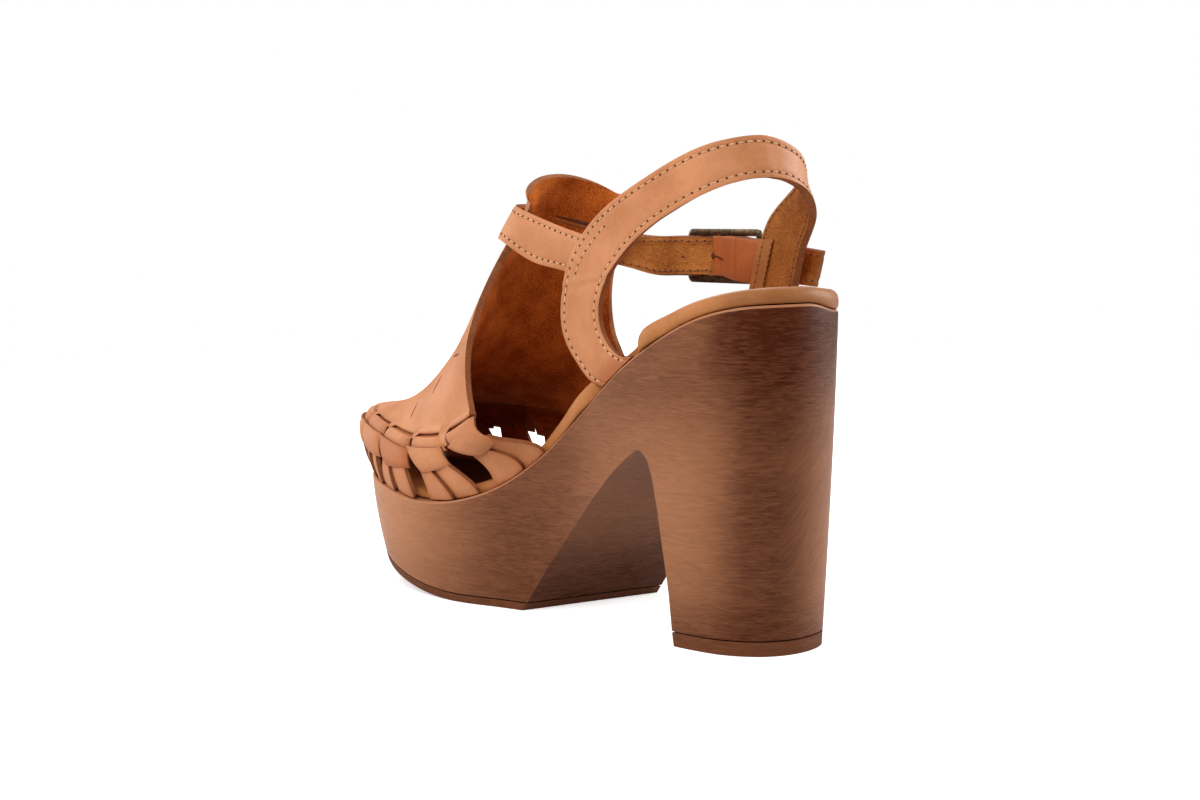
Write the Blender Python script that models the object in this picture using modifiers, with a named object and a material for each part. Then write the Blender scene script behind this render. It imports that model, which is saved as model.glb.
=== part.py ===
"""Heeled sandal: a moulded platform sole with a block heel, a woven vamp and a buckled sling strap.

The toe points along +X, the medial side is +Y and the floor is Z = 0.
Sizes in the tables are millimetres.  They become metres where a mesh is made.
"""

from collections import namedtuple
from math import acos, cos, pi, radians, sin

import bmesh
import bpy
from mathutils import Matrix, Vector

MM = 0.001
MERGE = 0.00002
SLIVERS = (0.0002, 0.00015, 0.0001, 0.00005)
GAP = 0.5
BASE_GAP = 0.9

# Driving sizes of the shoe
LENGTH = 236.5
LIFT_HEIGHT = 5.0
OUTSOLE_HEIGHT = 3.0
MID_ARCH = 80.0
TAPER = 1.5
RIM_CHAMFER = 0.8
SPRING_START = 178.0
SPRING_HEIGHT = 9.0
SOLE_END = 0.07
SOLE_STEPS = 42
SIDE_LEVELS = (0.0, 0.12, 0.3, 0.6, 1.0)
WALL = 2.2
STRAP = 2.8
INSTEP = 2.4

# Half widths of the sole's top edge on either side of the centre line
OutlineRow = namedtuple("OutlineRow", "x medial lateral")
OUTLINE = (
    OutlineRow(0.0, 0.0, 0.0),
    OutlineRow(6.0, 18.5, 20.5),
    OutlineRow(16.0, 27.0, 29.5),
    OutlineRow(32.0, 31.5, 34.0),
    OutlineRow(60.0, 32.0, 35.5),
    OutlineRow(95.0, 31.0, 38.5),
    OutlineRow(125.0, 36.0, 43.0),
    OutlineRow(150.0, 42.0, 46.0),
    OutlineRow(170.0, 45.0, 46.5),
    OutlineRow(190.0, 45.0, 43.0),
    OutlineRow(208.0, 39.5, 34.5),
    OutlineRow(222.0, 29.0, 23.0),
    OutlineRow(231.5, 16.0, 12.0),
    OutlineRow(LENGTH, 0.0, 0.0),
)

# Height of the sole's top edge along the foot, with the inset of the bottom edge below it
SoleRow = namedtuple("SoleRow", "x top inset")
SOLE = (
    SoleRow(0.0, 120.5, 3.0),
    SoleRow(8.0, 119.8, 4.5),
    SoleRow(23.0, 116.0, 6.0),
    SoleRow(40.0, 108.3, 6.5),
    SoleRow(60.0, 97.0, 6.5),
    SoleRow(83.0, 79.3, 7.0),
    SoleRow(106.0, 60.5, 8.0),
    SoleRow(125.0, 48.6, 8.0),
    SoleRow(144.0, 41.5, 7.0),
    SoleRow(167.0, 38.8, 7.0),
    SoleRow(192.0, 41.7, 8.0),
    SoleRow(215.0, 44.5, 9.0),
    SoleRow(LENGTH, 46.0, 9.5),
)

# The arch between heel and platform: where the heel breast and the platform's rear face stand
ArchRow = namedtuple("ArchRow", "z breast front")
ARCH = (
    ArchRow(-3.0, 38.7, 125.5),
    ArchRow(0.0, 39.4, 123.0),
    ArchRow(22.0, 42.5, 105.0),
    ArchRow(39.0, 46.0, 90.0),
    ArchRow(53.0, 48.8, 77.0),
    ArchRow(62.0, 51.0, 66.5),
    ArchRow(66.0, 53.0, 60.0),
    ArchRow(67.5, 55.0, 57.0),
)
ARCH_SLANT = 0.12
ARCH_REACH = 60.0

# The padded insole: how far its edge stands in from the sole's edge, and its thickness.
# Its rounded edge is given as how far each point tucks in and its share of the thickness.
INSOLE_END = 0.09
INSOLE_STEPS = 40
INSOLE_EDGE = ((1.2, 0.0), (0.0, 0.3), (0.3, 0.7), (1.8, 1.0))
InsoleRow = namedtuple("InsoleRow", "x inset thickness")
INSOLE = (
    InsoleRow(0.0, 0.3, 5.6),
    InsoleRow(22.0, 0.3, 6.0),
    InsoleRow(35.0, 4.2, 6.6),
    InsoleRow(80.0, 4.2, 6.8),
    InsoleRow(120.0, 4.0, 4.2),
    InsoleRow(160.0, 4.0, 3.0),
    InsoleRow(LENGTH, 4.0, 3.0),
)

# Sections of the last under the vamp, from the woven edge up to the end of the tongue.
# Each is an arch: it starts at the throat's medial edge, passes over the ridge and comes down again.
# A flat crown and a high reach make it a full half ring; a reach of 1 makes it a shallow arc.
VampRow = namedtuple("VampRow", "edge_x edge_z medial lateral ridge_x ridge_z crown reach")
VAMP = (
    VampRow(131.0, 73.0, 42.0, 45.0, 230.5, 68.5, 2.8, 2.8),
    VampRow(136.0, 84.5, 41.0, 40.5, 203.5, 76.0, 2.6, 2.0),
    VampRow(138.6, 95.5, 39.5, 35.5, 185.0, 86.0, 2.3, 1.5),
    VampRow(138.7, 105.0, 37.5, 31.5, 171.5, 97.0, 2.1, 1.25),
    VampRow(136.2, 118.0, 34.0, 28.5, 158.0, 116.0, 2.0, 1.1),
    VampRow(130.0, 132.5, 30.0, 26.0, 147.5, 135.0, 2.0, 1.05),
    VampRow(119.5, 151.0, 24.0, 23.0, 137.0, 155.0, 2.0, 1.15),
    VampRow(121.0, 156.5, 20.5, 19.5, 131.0, 165.0, 2.0, 1.6),
)
VAMP_TOP = len(VAMP) - 1.0
VAMP_ROWS = 14
DIP_ROWS = 3.0
VAMP_COLUMNS = 34

# The woven units: their place along the vamp's edge and along the sole's rim, from the toe's middle
UnitRow = namedtuple("UnitRow", "lace rim")
UNITS = (
    UnitRow(0.0, 0.0),
    UnitRow(22.5, 25.0),
    UnitRow(45.5, 50.0),
    UnitRow(68.5, 76.5),
    UnitRow(90.5, 106.5),
    UnitRow(113.5, 141.5),
)
RIM_INSET = 2.8
BULGE_LOW = 4.5
BULGE_HIGH = 1.5
HANDLE = 10.0
CLIMB = 2.2
BLOCK_TOP = 1.12
RIM_FROM = 0.4 * pi
LINE_STEPS = 200

# One strip of a woven unit: from where to where it runs, its half widths, its two faces and its grid
StripRow = namedtuple(
    "StripRow", "low high left_low right_low left_high right_high inner outer steps columns")
STRIPS = (
    StripRow(0.0, 0.90, -11.0, -0.4, -6.0, -0.2, -0.2, 1.7, 6, 1),
    StripRow(0.0, 0.92, 0.4, 11.0, 0.2, 6.2, 0.3, 2.2, 6, 1),
    StripRow(0.45, 0.80, -7.4, 7.4, -8.8, 8.8, -0.7, 3.3, 3, 2),
    StripRow(0.70, BLOCK_TOP, -10.3, 10.3, -10.0, 10.0, -1.4, 2.7, 3, 2),
)

# Plan of the sling strap round the ankle
ANKLE_BACK = 10.0
ANKLE_DEPTH = 75.0
ANKLE_MEDIAL = 32.0
ANKLE_MEDIAL_FULLNESS = 2.3
ANKLE_LATERAL = 35.5
ANKLE_LATERAL_FULLNESS = 3.0
ANKLE_STEPS = 40
ANKLE_LEAN = 0.3
ANKLE_LEAN_FROM = 150.0
ANKLE_LEAN_END = 45.0
ANKLE_LEAN_REACH = 30.0
BASE_LEVEL = 95.0
BASE_BLEND = 45.0
BASE_INSET = 0.5

# The sling strap's edges: distance round the ankle from the back, lateral positive, and height
SlingRow = namedtuple("SlingRow", "front_s front_z rear_s rear_z")
SLING = (
    SlingRow(-86.7, 100.3, -65.5, 105.5),
    SlingRow(-94.0, 111.5, -72.7, 110.8),
    SlingRow(-96.8, 123.0, -76.0, 119.0),
    SlingRow(-94.0, 133.4, -73.5, 127.5),
    SlingRow(-85.0, 144.2, -65.5, 136.4),
    SlingRow(-56.2, 162.4, -40.5, 152.8),
    SlingRow(-21.6, 175.2, -12.5, 162.4),
    SlingRow(-3.0, 177.6, -1.0, 163.0),
    SlingRow(12.0, 175.6, 9.0, 161.0),
    SlingRow(38.0, 166.0, 29.5, 150.5),
    SlingRow(59.0, 150.5, 41.0, 136.0),
    SlingRow(65.5, 128.0, 46.0, 122.0),
)
SLING_BASE_MEDIAL = (-77.4, -56.1)
SLING_BASE_LATERAL = (75.0, 52.0)
SLING_STEPS = 66

# The instep strap's outer face: its edges beside the foot, and its place on the vamp's sections
BesideRow = namedtuple("BesideRow", "low_x low_z high_x high_z low_y high_y")
INSTEP_MEDIAL = (
    BesideRow(72.0, 125.5, 68.0, 139.5, 29.5, 29.5),
    BesideRow(84.0, 128.0, 79.0, 142.2, 29.6, 29.6),
    BesideRow(96.0, 130.4, 92.0, 145.2, 30.6, 30.2),
    BesideRow(110.0, 132.8, 105.0, 148.4, 31.2, 29.8),
)
INSTEP_LATERAL = (
    BesideRow(121.0, 127.2, 121.0, 141.6, -39.2, -38.8),
    BesideRow(105.0, 126.7, 105.0, 141.3, -40.0, -40.0),
    BesideRow(101.0, 126.7, 101.0, 141.3, -40.4, -40.4),
    BesideRow(96.5, 126.7, 96.5, 141.3, -43.0, -43.0),
    BesideRow(92.0, 126.7, 92.0, 141.3, -47.0, -47.0),
    BesideRow(87.0, 126.7, 87.0, 141.3, -48.2, -48.2),
    BesideRow(82.0, 126.7, 82.0, 141.3, -47.7, -47.7),
    BesideRow(75.0, 126.6, 75.0, 141.2, -44.6, -44.6),
    BesideRow(67.5, 126.5, 67.5, 141.1, -41.0, -41.0),
    BesideRow(60.0, 126.3, 60.0, 140.9, -40.9, -40.9),
    BesideRow(46.0, 126.0, 46.0, 139.6, -40.7, -40.7),
    BesideRow(32.0, 125.6, 31.0, 137.0, -40.0, -40.0),
)
OverRow = namedtuple("OverRow", "turn low high")
INSTEP_OVER = (
    OverRow(16.0, 5.30, 5.98),
    OverRow(50.0, 5.22, 5.90),
    OverRow(90.0, 5.10, 5.78),
    OverRow(130.0, 4.95, 5.62),
    OverRow(164.0, 4.80, 5.48),
)
INSTEP_CLEAR = 1.3
INSTEP_STEPS = 84

# The centre-bar buckle on the lateral side
BUCKLE_FRONT = 104.5
BUCKLE_REAR = 64.5
BUCKLE_LOW = 123.4
BUCKLE_HIGH = 144.8
BUCKLE_RAIL = 2.8
BUCKLE_BAR = (85.5, 88.5)
BUCKLE_INNER_Y = -41.5
BUCKLE_THICK = 1.8
BUCKLE_CORNER = 2.0
PRONG_RADIUS = 1.0
PRONG_Z = 133.9
PRONG_STEPS = 12
ProngRow = namedtuple("ProngRow", "x y")
PRONG = (
    ProngRow(90.0, -43.0),
    ProngRow(92.5, -45.6),
    ProngRow(96.0, -46.6),
    ProngRow(100.0, -45.6),
    ProngRow(105.0, -44.6),
)
SLOT = (89.4, 97.6)
SLOT_HALF = 1.6
SLOT_DEPTH = 16.0
TAB_SLOT = (87.2, 92.0)

# The folded tab: the middle of its leather, from its sewn end round the buckle's bar and back
TAB = 1.0
TAB_LOW = 126.7
TAB_HIGH = 141.3
TabRow = namedtuple("TabRow", "x y")
TAB_PATH = (
    TabRow(46.0, -36.3),
    TabRow(57.0, -36.2),
    TabRow(66.0, -36.4),
    TabRow(77.0, -38.4),
    TabRow(84.0, -40.1),
    TabRow(88.2, -40.5),
    TabRow(90.2, -42.4),
    TabRow(88.2, -44.4),
    TabRow(84.0, -44.2),
    TabRow(77.0, -40.4),
    TabRow(66.0, -37.75),
    TabRow(58.0, -37.55),
)
TAB_STEPS = 44


def smooth_through(places, values):
    """A smooth curve through the values, read at any place along it."""
    steps = [b - a for a, b in zip(places, places[1:])]
    slopes = [(b - a) / step for a, b, step in zip(values, values[1:], steps)]
    tangents = [slopes[0]]
    for k in range(1, len(slopes)):
        before, after = steps[k - 1], steps[k]
        tangents.append((slopes[k - 1] * after + slopes[k] * before) / (before + after))
    tangents.append(slopes[-1])

    def value(place):
        place = min(max(place, places[0]), places[-1])
        k = 0
        while k < len(steps) - 1 and places[k + 1] < place:
            k += 1
        t = (place - places[k]) / steps[k]
        start = values[k] * (1 + 2 * t) * (1 - t) ** 2 + tangents[k] * steps[k] * t * (1 - t) ** 2
        end = values[k + 1] * t * t * (3 - 2 * t) + tangents[k + 1] * steps[k] * t * t * (t - 1)
        return start + end

    return value


def column(rows, place, name, warp=None):
    """One column of a table as a smooth curve over another column."""
    places = [getattr(row, place) for row in rows]
    if warp:
        places = [warp(p) for p in places]
    return smooth_through(places, [getattr(row, name) for row in rows])


def station(x):
    """The angle that stands for a place along the foot, so that both ends come out round."""
    return acos(max(-1.0, min(1.0, 1.0 - 2.0 * x / LENGTH)))


medial_width = column(OUTLINE, "x", "medial", station)
lateral_width = column(OUTLINE, "x", "lateral", station)
sole_top = column(SOLE, "x", "top")
sole_inset = column(SOLE, "x", "inset")
arch_breast = column(ARCH, "z", "breast")
arch_front = column(ARCH, "z", "front")
insole_inset = column(INSOLE, "x", "inset")
insole_thickness = column(INSOLE, "x", "thickness")
vamp_columns = {
    name: smooth_through(list(range(len(VAMP))), [getattr(row, name) for row in VAMP])
    for name in VampRow._fields
}


def outline(turn):
    """The sole's top edge from above: turn 0 is the heel's back, pi the toe, medial first."""
    turn = turn % (2 * pi)
    if turn <= pi:
        return Vector((LENGTH * (1 - cos(turn)) / 2, medial_width(turn)))
    return Vector((LENGTH * (1 - cos(turn)) / 2, -lateral_width(2 * pi - turn)))


def rim(turn, inset):
    """The top edge moved inwards, seen from above."""
    step = 0.01
    along = (outline(turn + step) - outline(turn - step)).normalized()
    return outline(turn) - inset * Vector((-along.y, along.x))


def toe_spring(x):
    """How far the sole's underside rises towards the toe."""
    reach = max(0.0, x - SPRING_START) / (LENGTH - SPRING_START)
    return SPRING_HEIGHT * reach * reach


def side_point(turn, height):
    """A point of the sole's side at a height between floor and top edge, 0 to 1."""
    edge = outline(turn)
    low = toe_spring(edge.x)
    place = rim(turn, sole_inset(edge.x) * (1 - height) ** TAPER)
    return Vector((place.x, place.y, low + height * (sole_top(edge.x) - low)))


def loft(rings):
    """A closed skin over rings of equally many points, with both ends capped."""
    mesh = bmesh.new()
    rows = [[mesh.verts.new(point * MM) for point in ring] for ring in rings]
    count = len(rows[0])
    for low, high in zip(rows, rows[1:]):
        for i in range(count):
            j = (i + 1) % count
            mesh.faces.new((low[i], low[j], high[j], high[i]))
    mesh.faces.new(tuple(reversed(rows[0])))
    mesh.faces.new(tuple(rows[-1]))
    bmesh.ops.remove_doubles(mesh, verts=mesh.verts, dist=MERGE)
    bmesh.ops.recalc_face_normals(mesh, faces=mesh.faces)
    return mesh


def add_object(name, mesh, collection, material=None):
    """An object made of a finished mesh, shaded smooth except at its sharp edges."""
    data = bpy.data.meshes.new(name)
    mesh.to_mesh(data)
    mesh.free()
    data.shade_smooth()
    data.set_sharp_from_angle(angle=radians(38))
    thing = bpy.data.objects.new(name, data)
    collection.objects.link(thing)
    if material:
        data.materials.append(material)
    return thing


def add_tool(name, mesh, collection):
    """A shape that only cuts or joins another one."""
    tool = add_object(name, mesh, collection)
    tool.hide_render = True
    tool.display_type = "WIRE"
    return tool


def boolean(thing, tool, operation):
    step = thing.modifiers.new(operation.lower() + "_" + tool.name, "BOOLEAN")
    step.object = tool
    step.operation = operation
    return step


def settle(thing):
    """Turns a fused shape into a plain mesh, rid of the slivers that crossing walls leave."""
    graph = bpy.context.evaluated_depsgraph_get()
    data = bpy.data.meshes.new_from_object(thing.evaluated_get(graph))
    for sliver in SLIVERS:
        mesh = bmesh.new()
        mesh.from_mesh(data)
        bmesh.ops.triangulate(mesh, faces=mesh.faces)
        bmesh.ops.remove_doubles(mesh, verts=mesh.verts, dist=sliver / 2)
        bmesh.ops.dissolve_degenerate(mesh, edges=mesh.edges, dist=sliver)
        bmesh.ops.recalc_face_normals(mesh, faces=mesh.faces)
        if all(edge.is_manifold for edge in mesh.edges):
            break
    mesh.to_mesh(data)
    mesh.free()
    thing.modifiers.clear()
    thing.data = data


def finish(name, colour, roughness, metallic=0.0):
    """A plain material in the colour of the real one."""
    material = bpy.data.materials.new(name)
    material.use_nodes = True
    shader = material.node_tree.nodes["Principled BSDF"]
    shader.inputs["Base Color"].default_value = (*colour, 1.0)
    shader.inputs["Roughness"].default_value = roughness
    shader.inputs["Metallic"].default_value = metallic
    return material


def sole_ring(turn, heights):
    """One cross section of the sole, up its medial side and down its lateral side."""
    medial = [side_point(turn, height) for height in heights]
    lateral = [side_point(2 * pi - turn, height) for height in reversed(heights)]
    return medial + lateral


def chamfered_ring(turn, foot):
    """A cross section of the sole unit from its foot up to its softened top edge."""
    x = outline(turn).x
    low = toe_spring(x)
    top = sole_top(x)
    start = foot / (top - low)
    edge = 1 - RIM_CHAMFER / (top - low)
    ring = sole_ring(turn, [start + (edge - start) * share for share in SIDE_LEVELS])
    crown = []
    for side in (turn, 2 * pi - turn):
        place = rim(side, RIM_CHAMFER)
        crown.append(Vector((place.x, place.y, top)))
    return ring[:len(SIDE_LEVELS)] + crown + ring[len(SIDE_LEVELS):]


def turns(first, last, count):
    """Evenly spaced values from first to last."""
    return [first + (last - first) * k / count for k in range(count + 1)]


def arch_tool(collection):
    """The space under the shank, its platform side slanted forwards on the medial side."""
    heights = [row.z for row in ARCH]
    rings = []
    for y in (ARCH_REACH, -ARCH_REACH):
        ring = [Vector((arch_breast(z), y, z)) for z in heights]
        for z in reversed(heights):
            slant = ARCH_SLANT * (1 - max(z, 0.0) / heights[-1])
            ring.append(Vector((arch_front(z) + slant * (y - ARCH_REACH / 2), y, z)))
        rings.append(ring)
    return add_tool("arch_space", loft(rings), collection)


def make_sole(parts, tools, wood, rubber):
    """Platform, shank and heel in one, with the walking sole and the heel's lift below."""
    arch = arch_tool(tools)
    rings = []
    for turn in turns(SOLE_END, pi - SOLE_END, SOLE_STEPS):
        under = LIFT_HEIGHT if outline(turn).x < MID_ARCH else OUTSOLE_HEIGHT
        rings.append(chamfered_ring(turn, under + GAP))
    unit = add_object("sole_unit", loft(rings), parts, wood)
    boolean(unit, arch, "DIFFERENCE")
    middle = station(MID_ARCH)
    for name, first, last, thick, count in (
        ("heel_lift", SOLE_END, middle, LIFT_HEIGHT, 14),
        ("outsole", middle, pi - SOLE_END, OUTSOLE_HEIGHT, 22),
    ):
        rings = []
        for turn in turns(first, last, count):
            x = outline(turn).x
            rings.append(sole_ring(turn, (0.0, thick / (sole_top(x) - toe_spring(x)))))
        slab = add_object(name, loft(rings), parts, rubber)
        boolean(slab, arch, "DIFFERENCE")


def make_insole(parts, leather):
    """A padded footbed with a rounded edge, resting on the sole unit."""
    rings = []
    for turn in turns(INSOLE_END, pi - INSOLE_END, INSOLE_STEPS):
        ring = []
        for side in (turn, 2 * pi - turn):
            x = outline(side).x
            points = []
            for tuck, height in INSOLE_EDGE:
                place = rim(side, insole_inset(x) + tuck)
                lift = GAP + height * insole_thickness(x)
                points.append(Vector((place.x, place.y, sole_top(place.x) + lift)))
            ring += points if side == turn else points[::-1]
        rings.append(ring)
    add_object("insole", loft(rings), parts, leather)


def woven_dip(row, x):
    """How far the woven edge drops between its ends, to keep its height above the sole's rim."""
    first, last = VAMP[0].edge_x, VAMP[0].ridge_x
    share = min(max((x - first) / (last - first), 0.0), 1.0)
    level = sole_top(first) + (sole_top(last) - sole_top(first)) * share
    fade = max(0.0, 1.0 - row / DIP_ROWS)
    return (level - sole_top(min(max(x, first), last))) * fade * fade


def vamp_point(row, turn):
    """A point of the last under the vamp: its section, and the angle over it from the medial side."""
    size = {name: curve(row) for name, curve in vamp_columns.items()}
    across = abs(cos(turn)) ** (2.0 / size["crown"])
    forward = abs(sin(turn)) ** (2.0 / size["reach"])
    half = size["medial"] if cos(turn) >= 0 else -size["lateral"]
    x = size["edge_x"] + (size["ridge_x"] - size["edge_x"]) * forward
    z = size["edge_z"] + (size["ridge_z"] - size["edge_z"]) * forward
    return Vector((x, half * across, z - woven_dip(row, x)))


def vamp_normal(row, turn):
    """The direction out of the vamp."""
    small = 0.02
    turn = min(max(turn, 2 * small), pi - 2 * small)
    up = vamp_point(min(row + small, VAMP_TOP), turn) - vamp_point(max(row - small, 0.0), turn)
    over = vamp_point(row, turn + small) - vamp_point(row, turn - small)
    return up.cross(over).normalized()


def vamp_outer(row, turn, lift):
    return vamp_point(row, turn) + vamp_normal(row, turn) * lift


def along_line(points):
    """The length along a line at each of its points."""
    lengths = [0.0]
    for a, b in zip(points, points[1:]):
        lengths.append(lengths[-1] + (b - a).length)
    return lengths


def by_length(parameters, points, middle):
    """The parameter at a length along a line, counted from the line's middle parameter."""
    lengths = along_line(points)
    zero = smooth_through(parameters, lengths)(middle)
    read = smooth_through(lengths, parameters)
    return lambda length: read(length + zero)


lace_turns = turns(0.0, pi, LINE_STEPS)
lace_turn_at = by_length(lace_turns, [vamp_point(0.0, turn) for turn in lace_turns], pi / 2)
rim_turns = turns(RIM_FROM, 2 * pi - RIM_FROM, LINE_STEPS)
rim_turn_at = by_length(rim_turns, [rim(turn, RIM_INSET) for turn in rim_turns], pi)


def strip_path(lace, rim_place, height):
    """A point of a woven strip's inner face: 0 on the sole's rim, 1 at the vamp's edge, then above."""
    over = lace_turn_at(lace)
    if height > 1.0:
        return vamp_outer((height - 1.0) * CLIMB, over, WALL)
    turn = rim_turn_at(rim_place)
    foot = rim(turn, RIM_INSET)
    base = Vector((foot.x, foot.y, sole_top(foot.x) + GAP))
    out = (outline(turn) - foot).normalized().to_3d()
    top = vamp_outer(0.0, over, WALL)
    down = (vamp_outer(0.0, over, WALL) - vamp_outer(0.3, over, WALL)).normalized()
    low_handle = base + Vector((0, 0, HANDLE)) + out * BULGE_LOW
    high_handle = top + down * HANDLE + out * BULGE_HIGH
    rest = 1.0 - height
    return (base * rest ** 3 + low_handle * 3 * rest * rest * height
            + high_handle * 3 * rest * height * height + top * height ** 3)


def strip_frame(unit_lace, unit_rim, side, height, across):
    """A place on the strip's surface and the direction out of it."""
    def at(h, w):
        return strip_path(side * (unit_lace + w), side * (unit_rim + w), h)

    small = 0.04
    low = max(height - small, 0.0)
    high = min(height + small, BLOCK_TOP)
    up = at(high, across) - at(low, across)
    over = at(height, across + 1.0) - at(height, across - 1.0)
    return at(height, across), up.cross(over).normalized() * side


def strip_mesh(unit, side, strip):
    """One flat strip of the weave, bent over the woven edge's surface."""
    rings = []
    for k in range(strip.steps + 1):
        share = k / strip.steps
        height = strip.low + (strip.high - strip.low) * share
        left = strip.left_low + (strip.left_high - strip.left_low) * share
        right = strip.right_low + (strip.right_high - strip.right_low) * share
        inner, outer = [], []
        for across in turns(left, right, strip.columns):
            place, out = strip_frame(unit.lace, unit.rim, side, height, across)
            if height == 0.0:
                out = Vector((out.x, out.y, 0.0)).normalized()
            inner.append(place + out * strip.inner)
            outer.append(place + out * strip.outer)
        ring = inner + outer[::-1]
        if height == 0.0:
            ring = [Vector((point.x, point.y, sole_top(point.x) + GAP)) for point in ring]
        rings.append(ring)
    return loft(rings)


def make_vamp(parts, weave, leather):
    """The vamp's shell with every strip of its woven edge fused to it."""
    mesh = bmesh.new()
    rows = []
    for i in range(VAMP_ROWS + 1):
        level = VAMP_TOP * i / VAMP_ROWS
        section = [vamp_point(level, turn) for turn in turns(0.0, pi, VAMP_COLUMNS)]
        rows.append([mesh.verts.new(point * MM) for point in section])
    for low, high in zip(rows, rows[1:]):
        for j in range(VAMP_COLUMNS):
            mesh.faces.new((low[j], low[j + 1], high[j + 1], high[j]))
    vamp = add_object("woven_vamp", mesh, parts, leather)
    shell = vamp.modifiers.new("wall", "SOLIDIFY")
    shell.thickness = WALL * MM
    shell.offset = -1.0
    shell.use_even_offset = True
    for k, unit in enumerate(UNITS):
        for side in (1, -1) if k else (1,):
            for n, strip in enumerate(STRIPS):
                hand = "lateral" if side > 0 else "medial"
                add_tool(f"strip_{hand}_{k}_{n}", strip_mesh(unit, side, strip), weave)
    join = vamp.modifiers.new("woven_strips", "BOOLEAN")
    join.operation = "UNION"
    join.operand_type = "COLLECTION"
    join.collection = weave
    settle(vamp)


def ankle_plan():
    """The strap's outer face from above: distances round from the back, and points."""
    front = ANKLE_BACK + ANKLE_DEPTH
    halves = []
    for width, fullness in (
        (ANKLE_LATERAL, ANKLE_LATERAL_FULLNESS),
        (ANKLE_MEDIAL, ANKLE_MEDIAL_FULLNESS),
    ):
        power = 2.0 / fullness
        points = []
        for angle in turns(0.0, pi / 2, ANKLE_STEPS):
            points.append(Vector((front - ANKLE_DEPTH * cos(angle) ** power, width * sin(angle) ** power)))
        points.append(Vector((front + ANKLE_DEPTH, width)))
        halves.append((along_line(points), points))
    return halves


ANKLE = ankle_plan()


def ankle_point(s, z):
    """A point of the sling strap's outer face at a distance round the ankle and a height."""
    lengths, points = ANKLE[0] if s >= 0 else ANKLE[1]
    side = -1.0 if s >= 0 else 1.0
    k = 0
    while k < len(lengths) - 2 and lengths[k + 1] < abs(s):
        k += 1
    share = (abs(s) - lengths[k]) / (lengths[k + 1] - lengths[k])
    flat = points[k].lerp(points[k + 1], share)
    back = min(max((ANKLE_LEAN_END - flat.x) / ANKLE_LEAN_REACH, 0.0), 1.0)
    x = flat.x + ANKLE_LEAN * back * (z - ANKLE_LEAN_FROM)
    width = medial_width if side > 0 else lateral_width
    rise = min(max((z - sole_top(x)) / BASE_BLEND, 0.0), 1.0)
    rise = rise * rise * (3 - 2 * rise)
    edge = width(station(x)) - BASE_INSET
    return Vector((x, side * (edge + (flat.y - edge) * rise), z))


def sling_base(s):
    """The strap's foot, just above the sole's rim."""
    x = ankle_point(s, BASE_LEVEL).x
    return ankle_point(s, sole_top(x) + BASE_GAP)


def edge_curve(points):
    """A smooth line through points in space, read from 0 to 1."""
    lengths = along_line(points)
    axes = [smooth_through(lengths, [point[axis] for point in points]) for axis in range(3)]
    return lambda share: Vector([axis(share * lengths[-1]) for axis in axes])


def ribbon(low_points, high_points, steps, thickness):
    """A strap between two edges on its outer face, thickened inwards."""
    low, high = edge_curve(low_points), edge_curve(high_points)
    rings = []
    small = 0.2 / steps
    for k in range(steps + 1):
        share = k / steps
        a, b = low(share), high(share)
        ahead = low(share + small) + high(share + small)
        behind = low(share - small) + high(share - small)
        inward = (ahead - behind).cross(b - a).normalized() * thickness
        rings.append([a, b, b + inward, a + inward])
    return loft(rings)


def make_straps(parts, tools, leather):
    """The sling strap and the instep strap, joined where they cross on the medial side."""
    front = [sling_base(SLING_BASE_MEDIAL[0])]
    rear = [sling_base(SLING_BASE_MEDIAL[1])]
    for row in SLING:
        front.append(ankle_point(row.front_s, row.front_z))
        rear.append(ankle_point(row.rear_s, row.rear_z))
    front.append(sling_base(SLING_BASE_LATERAL[0]))
    rear.append(sling_base(SLING_BASE_LATERAL[1]))
    sling = add_object("ankle_straps", ribbon(front, rear, SLING_STEPS, STRAP), parts, leather)

    low = [Vector((row.low_x, row.low_y, row.low_z)) for row in INSTEP_MEDIAL]
    high = [Vector((row.high_x, row.high_y, row.high_z)) for row in INSTEP_MEDIAL]
    reach = WALL + INSTEP_CLEAR + INSTEP
    for row in INSTEP_OVER:
        low.append(vamp_outer(row.low, radians(row.turn), reach))
        high.append(vamp_outer(row.high, radians(row.turn), reach))
    low += [Vector((row.low_x, row.low_y, row.low_z)) for row in INSTEP_LATERAL]
    high += [Vector((row.high_x, row.high_y, row.high_z)) for row in INSTEP_LATERAL]
    instep = add_tool("instep_strap", ribbon(low, high, INSTEP_STEPS, INSTEP), tools)
    boolean(sling, instep, "UNION")
    boolean(sling, slot_tool("strap_hole", SLOT, tools), "DIFFERENCE")


def slot_tool(name, span, collection):
    """A narrow block that opens leather for the prong."""
    mesh = bmesh.new()
    size = Vector((span[1] - span[0], SLOT_DEPTH, 2 * SLOT_HALF)) * MM
    centre = Vector(((span[0] + span[1]) / 2, BUCKLE_INNER_Y - SLOT_DEPTH / 2, PRONG_Z)) * MM
    place = Matrix.Translation(centre) @ Matrix.Diagonal((*size, 1.0))
    bmesh.ops.create_cube(mesh, size=1.0, matrix=place)
    return add_tool(name, mesh, collection)


def make_tab(parts, tools, leather):
    """The leather tab, folded round the buckle's centre bar and sewn to the sling strap."""
    low = [Vector((row.x, row.y, TAB_LOW)) for row in TAB_PATH]
    high = [Vector((row.x, row.y, TAB_HIGH)) for row in TAB_PATH]
    low_edge, high_edge = edge_curve(low), edge_curve(high)
    rings = []
    small = 0.2 / TAB_STEPS
    for k in range(TAB_STEPS + 1):
        share = k / TAB_STEPS
        a, b = low_edge(share), high_edge(share)
        ahead = low_edge(share + small) - low_edge(share - small)
        side = ahead.cross(b - a).normalized() * (TAB / 2)
        rings.append([a - side, b - side, b + side, a + side])
    tab = add_object("buckle_tab", loft(rings), parts, leather)
    boolean(tab, slot_tool("tab_hole", TAB_SLOT, tools), "DIFFERENCE")


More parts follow.
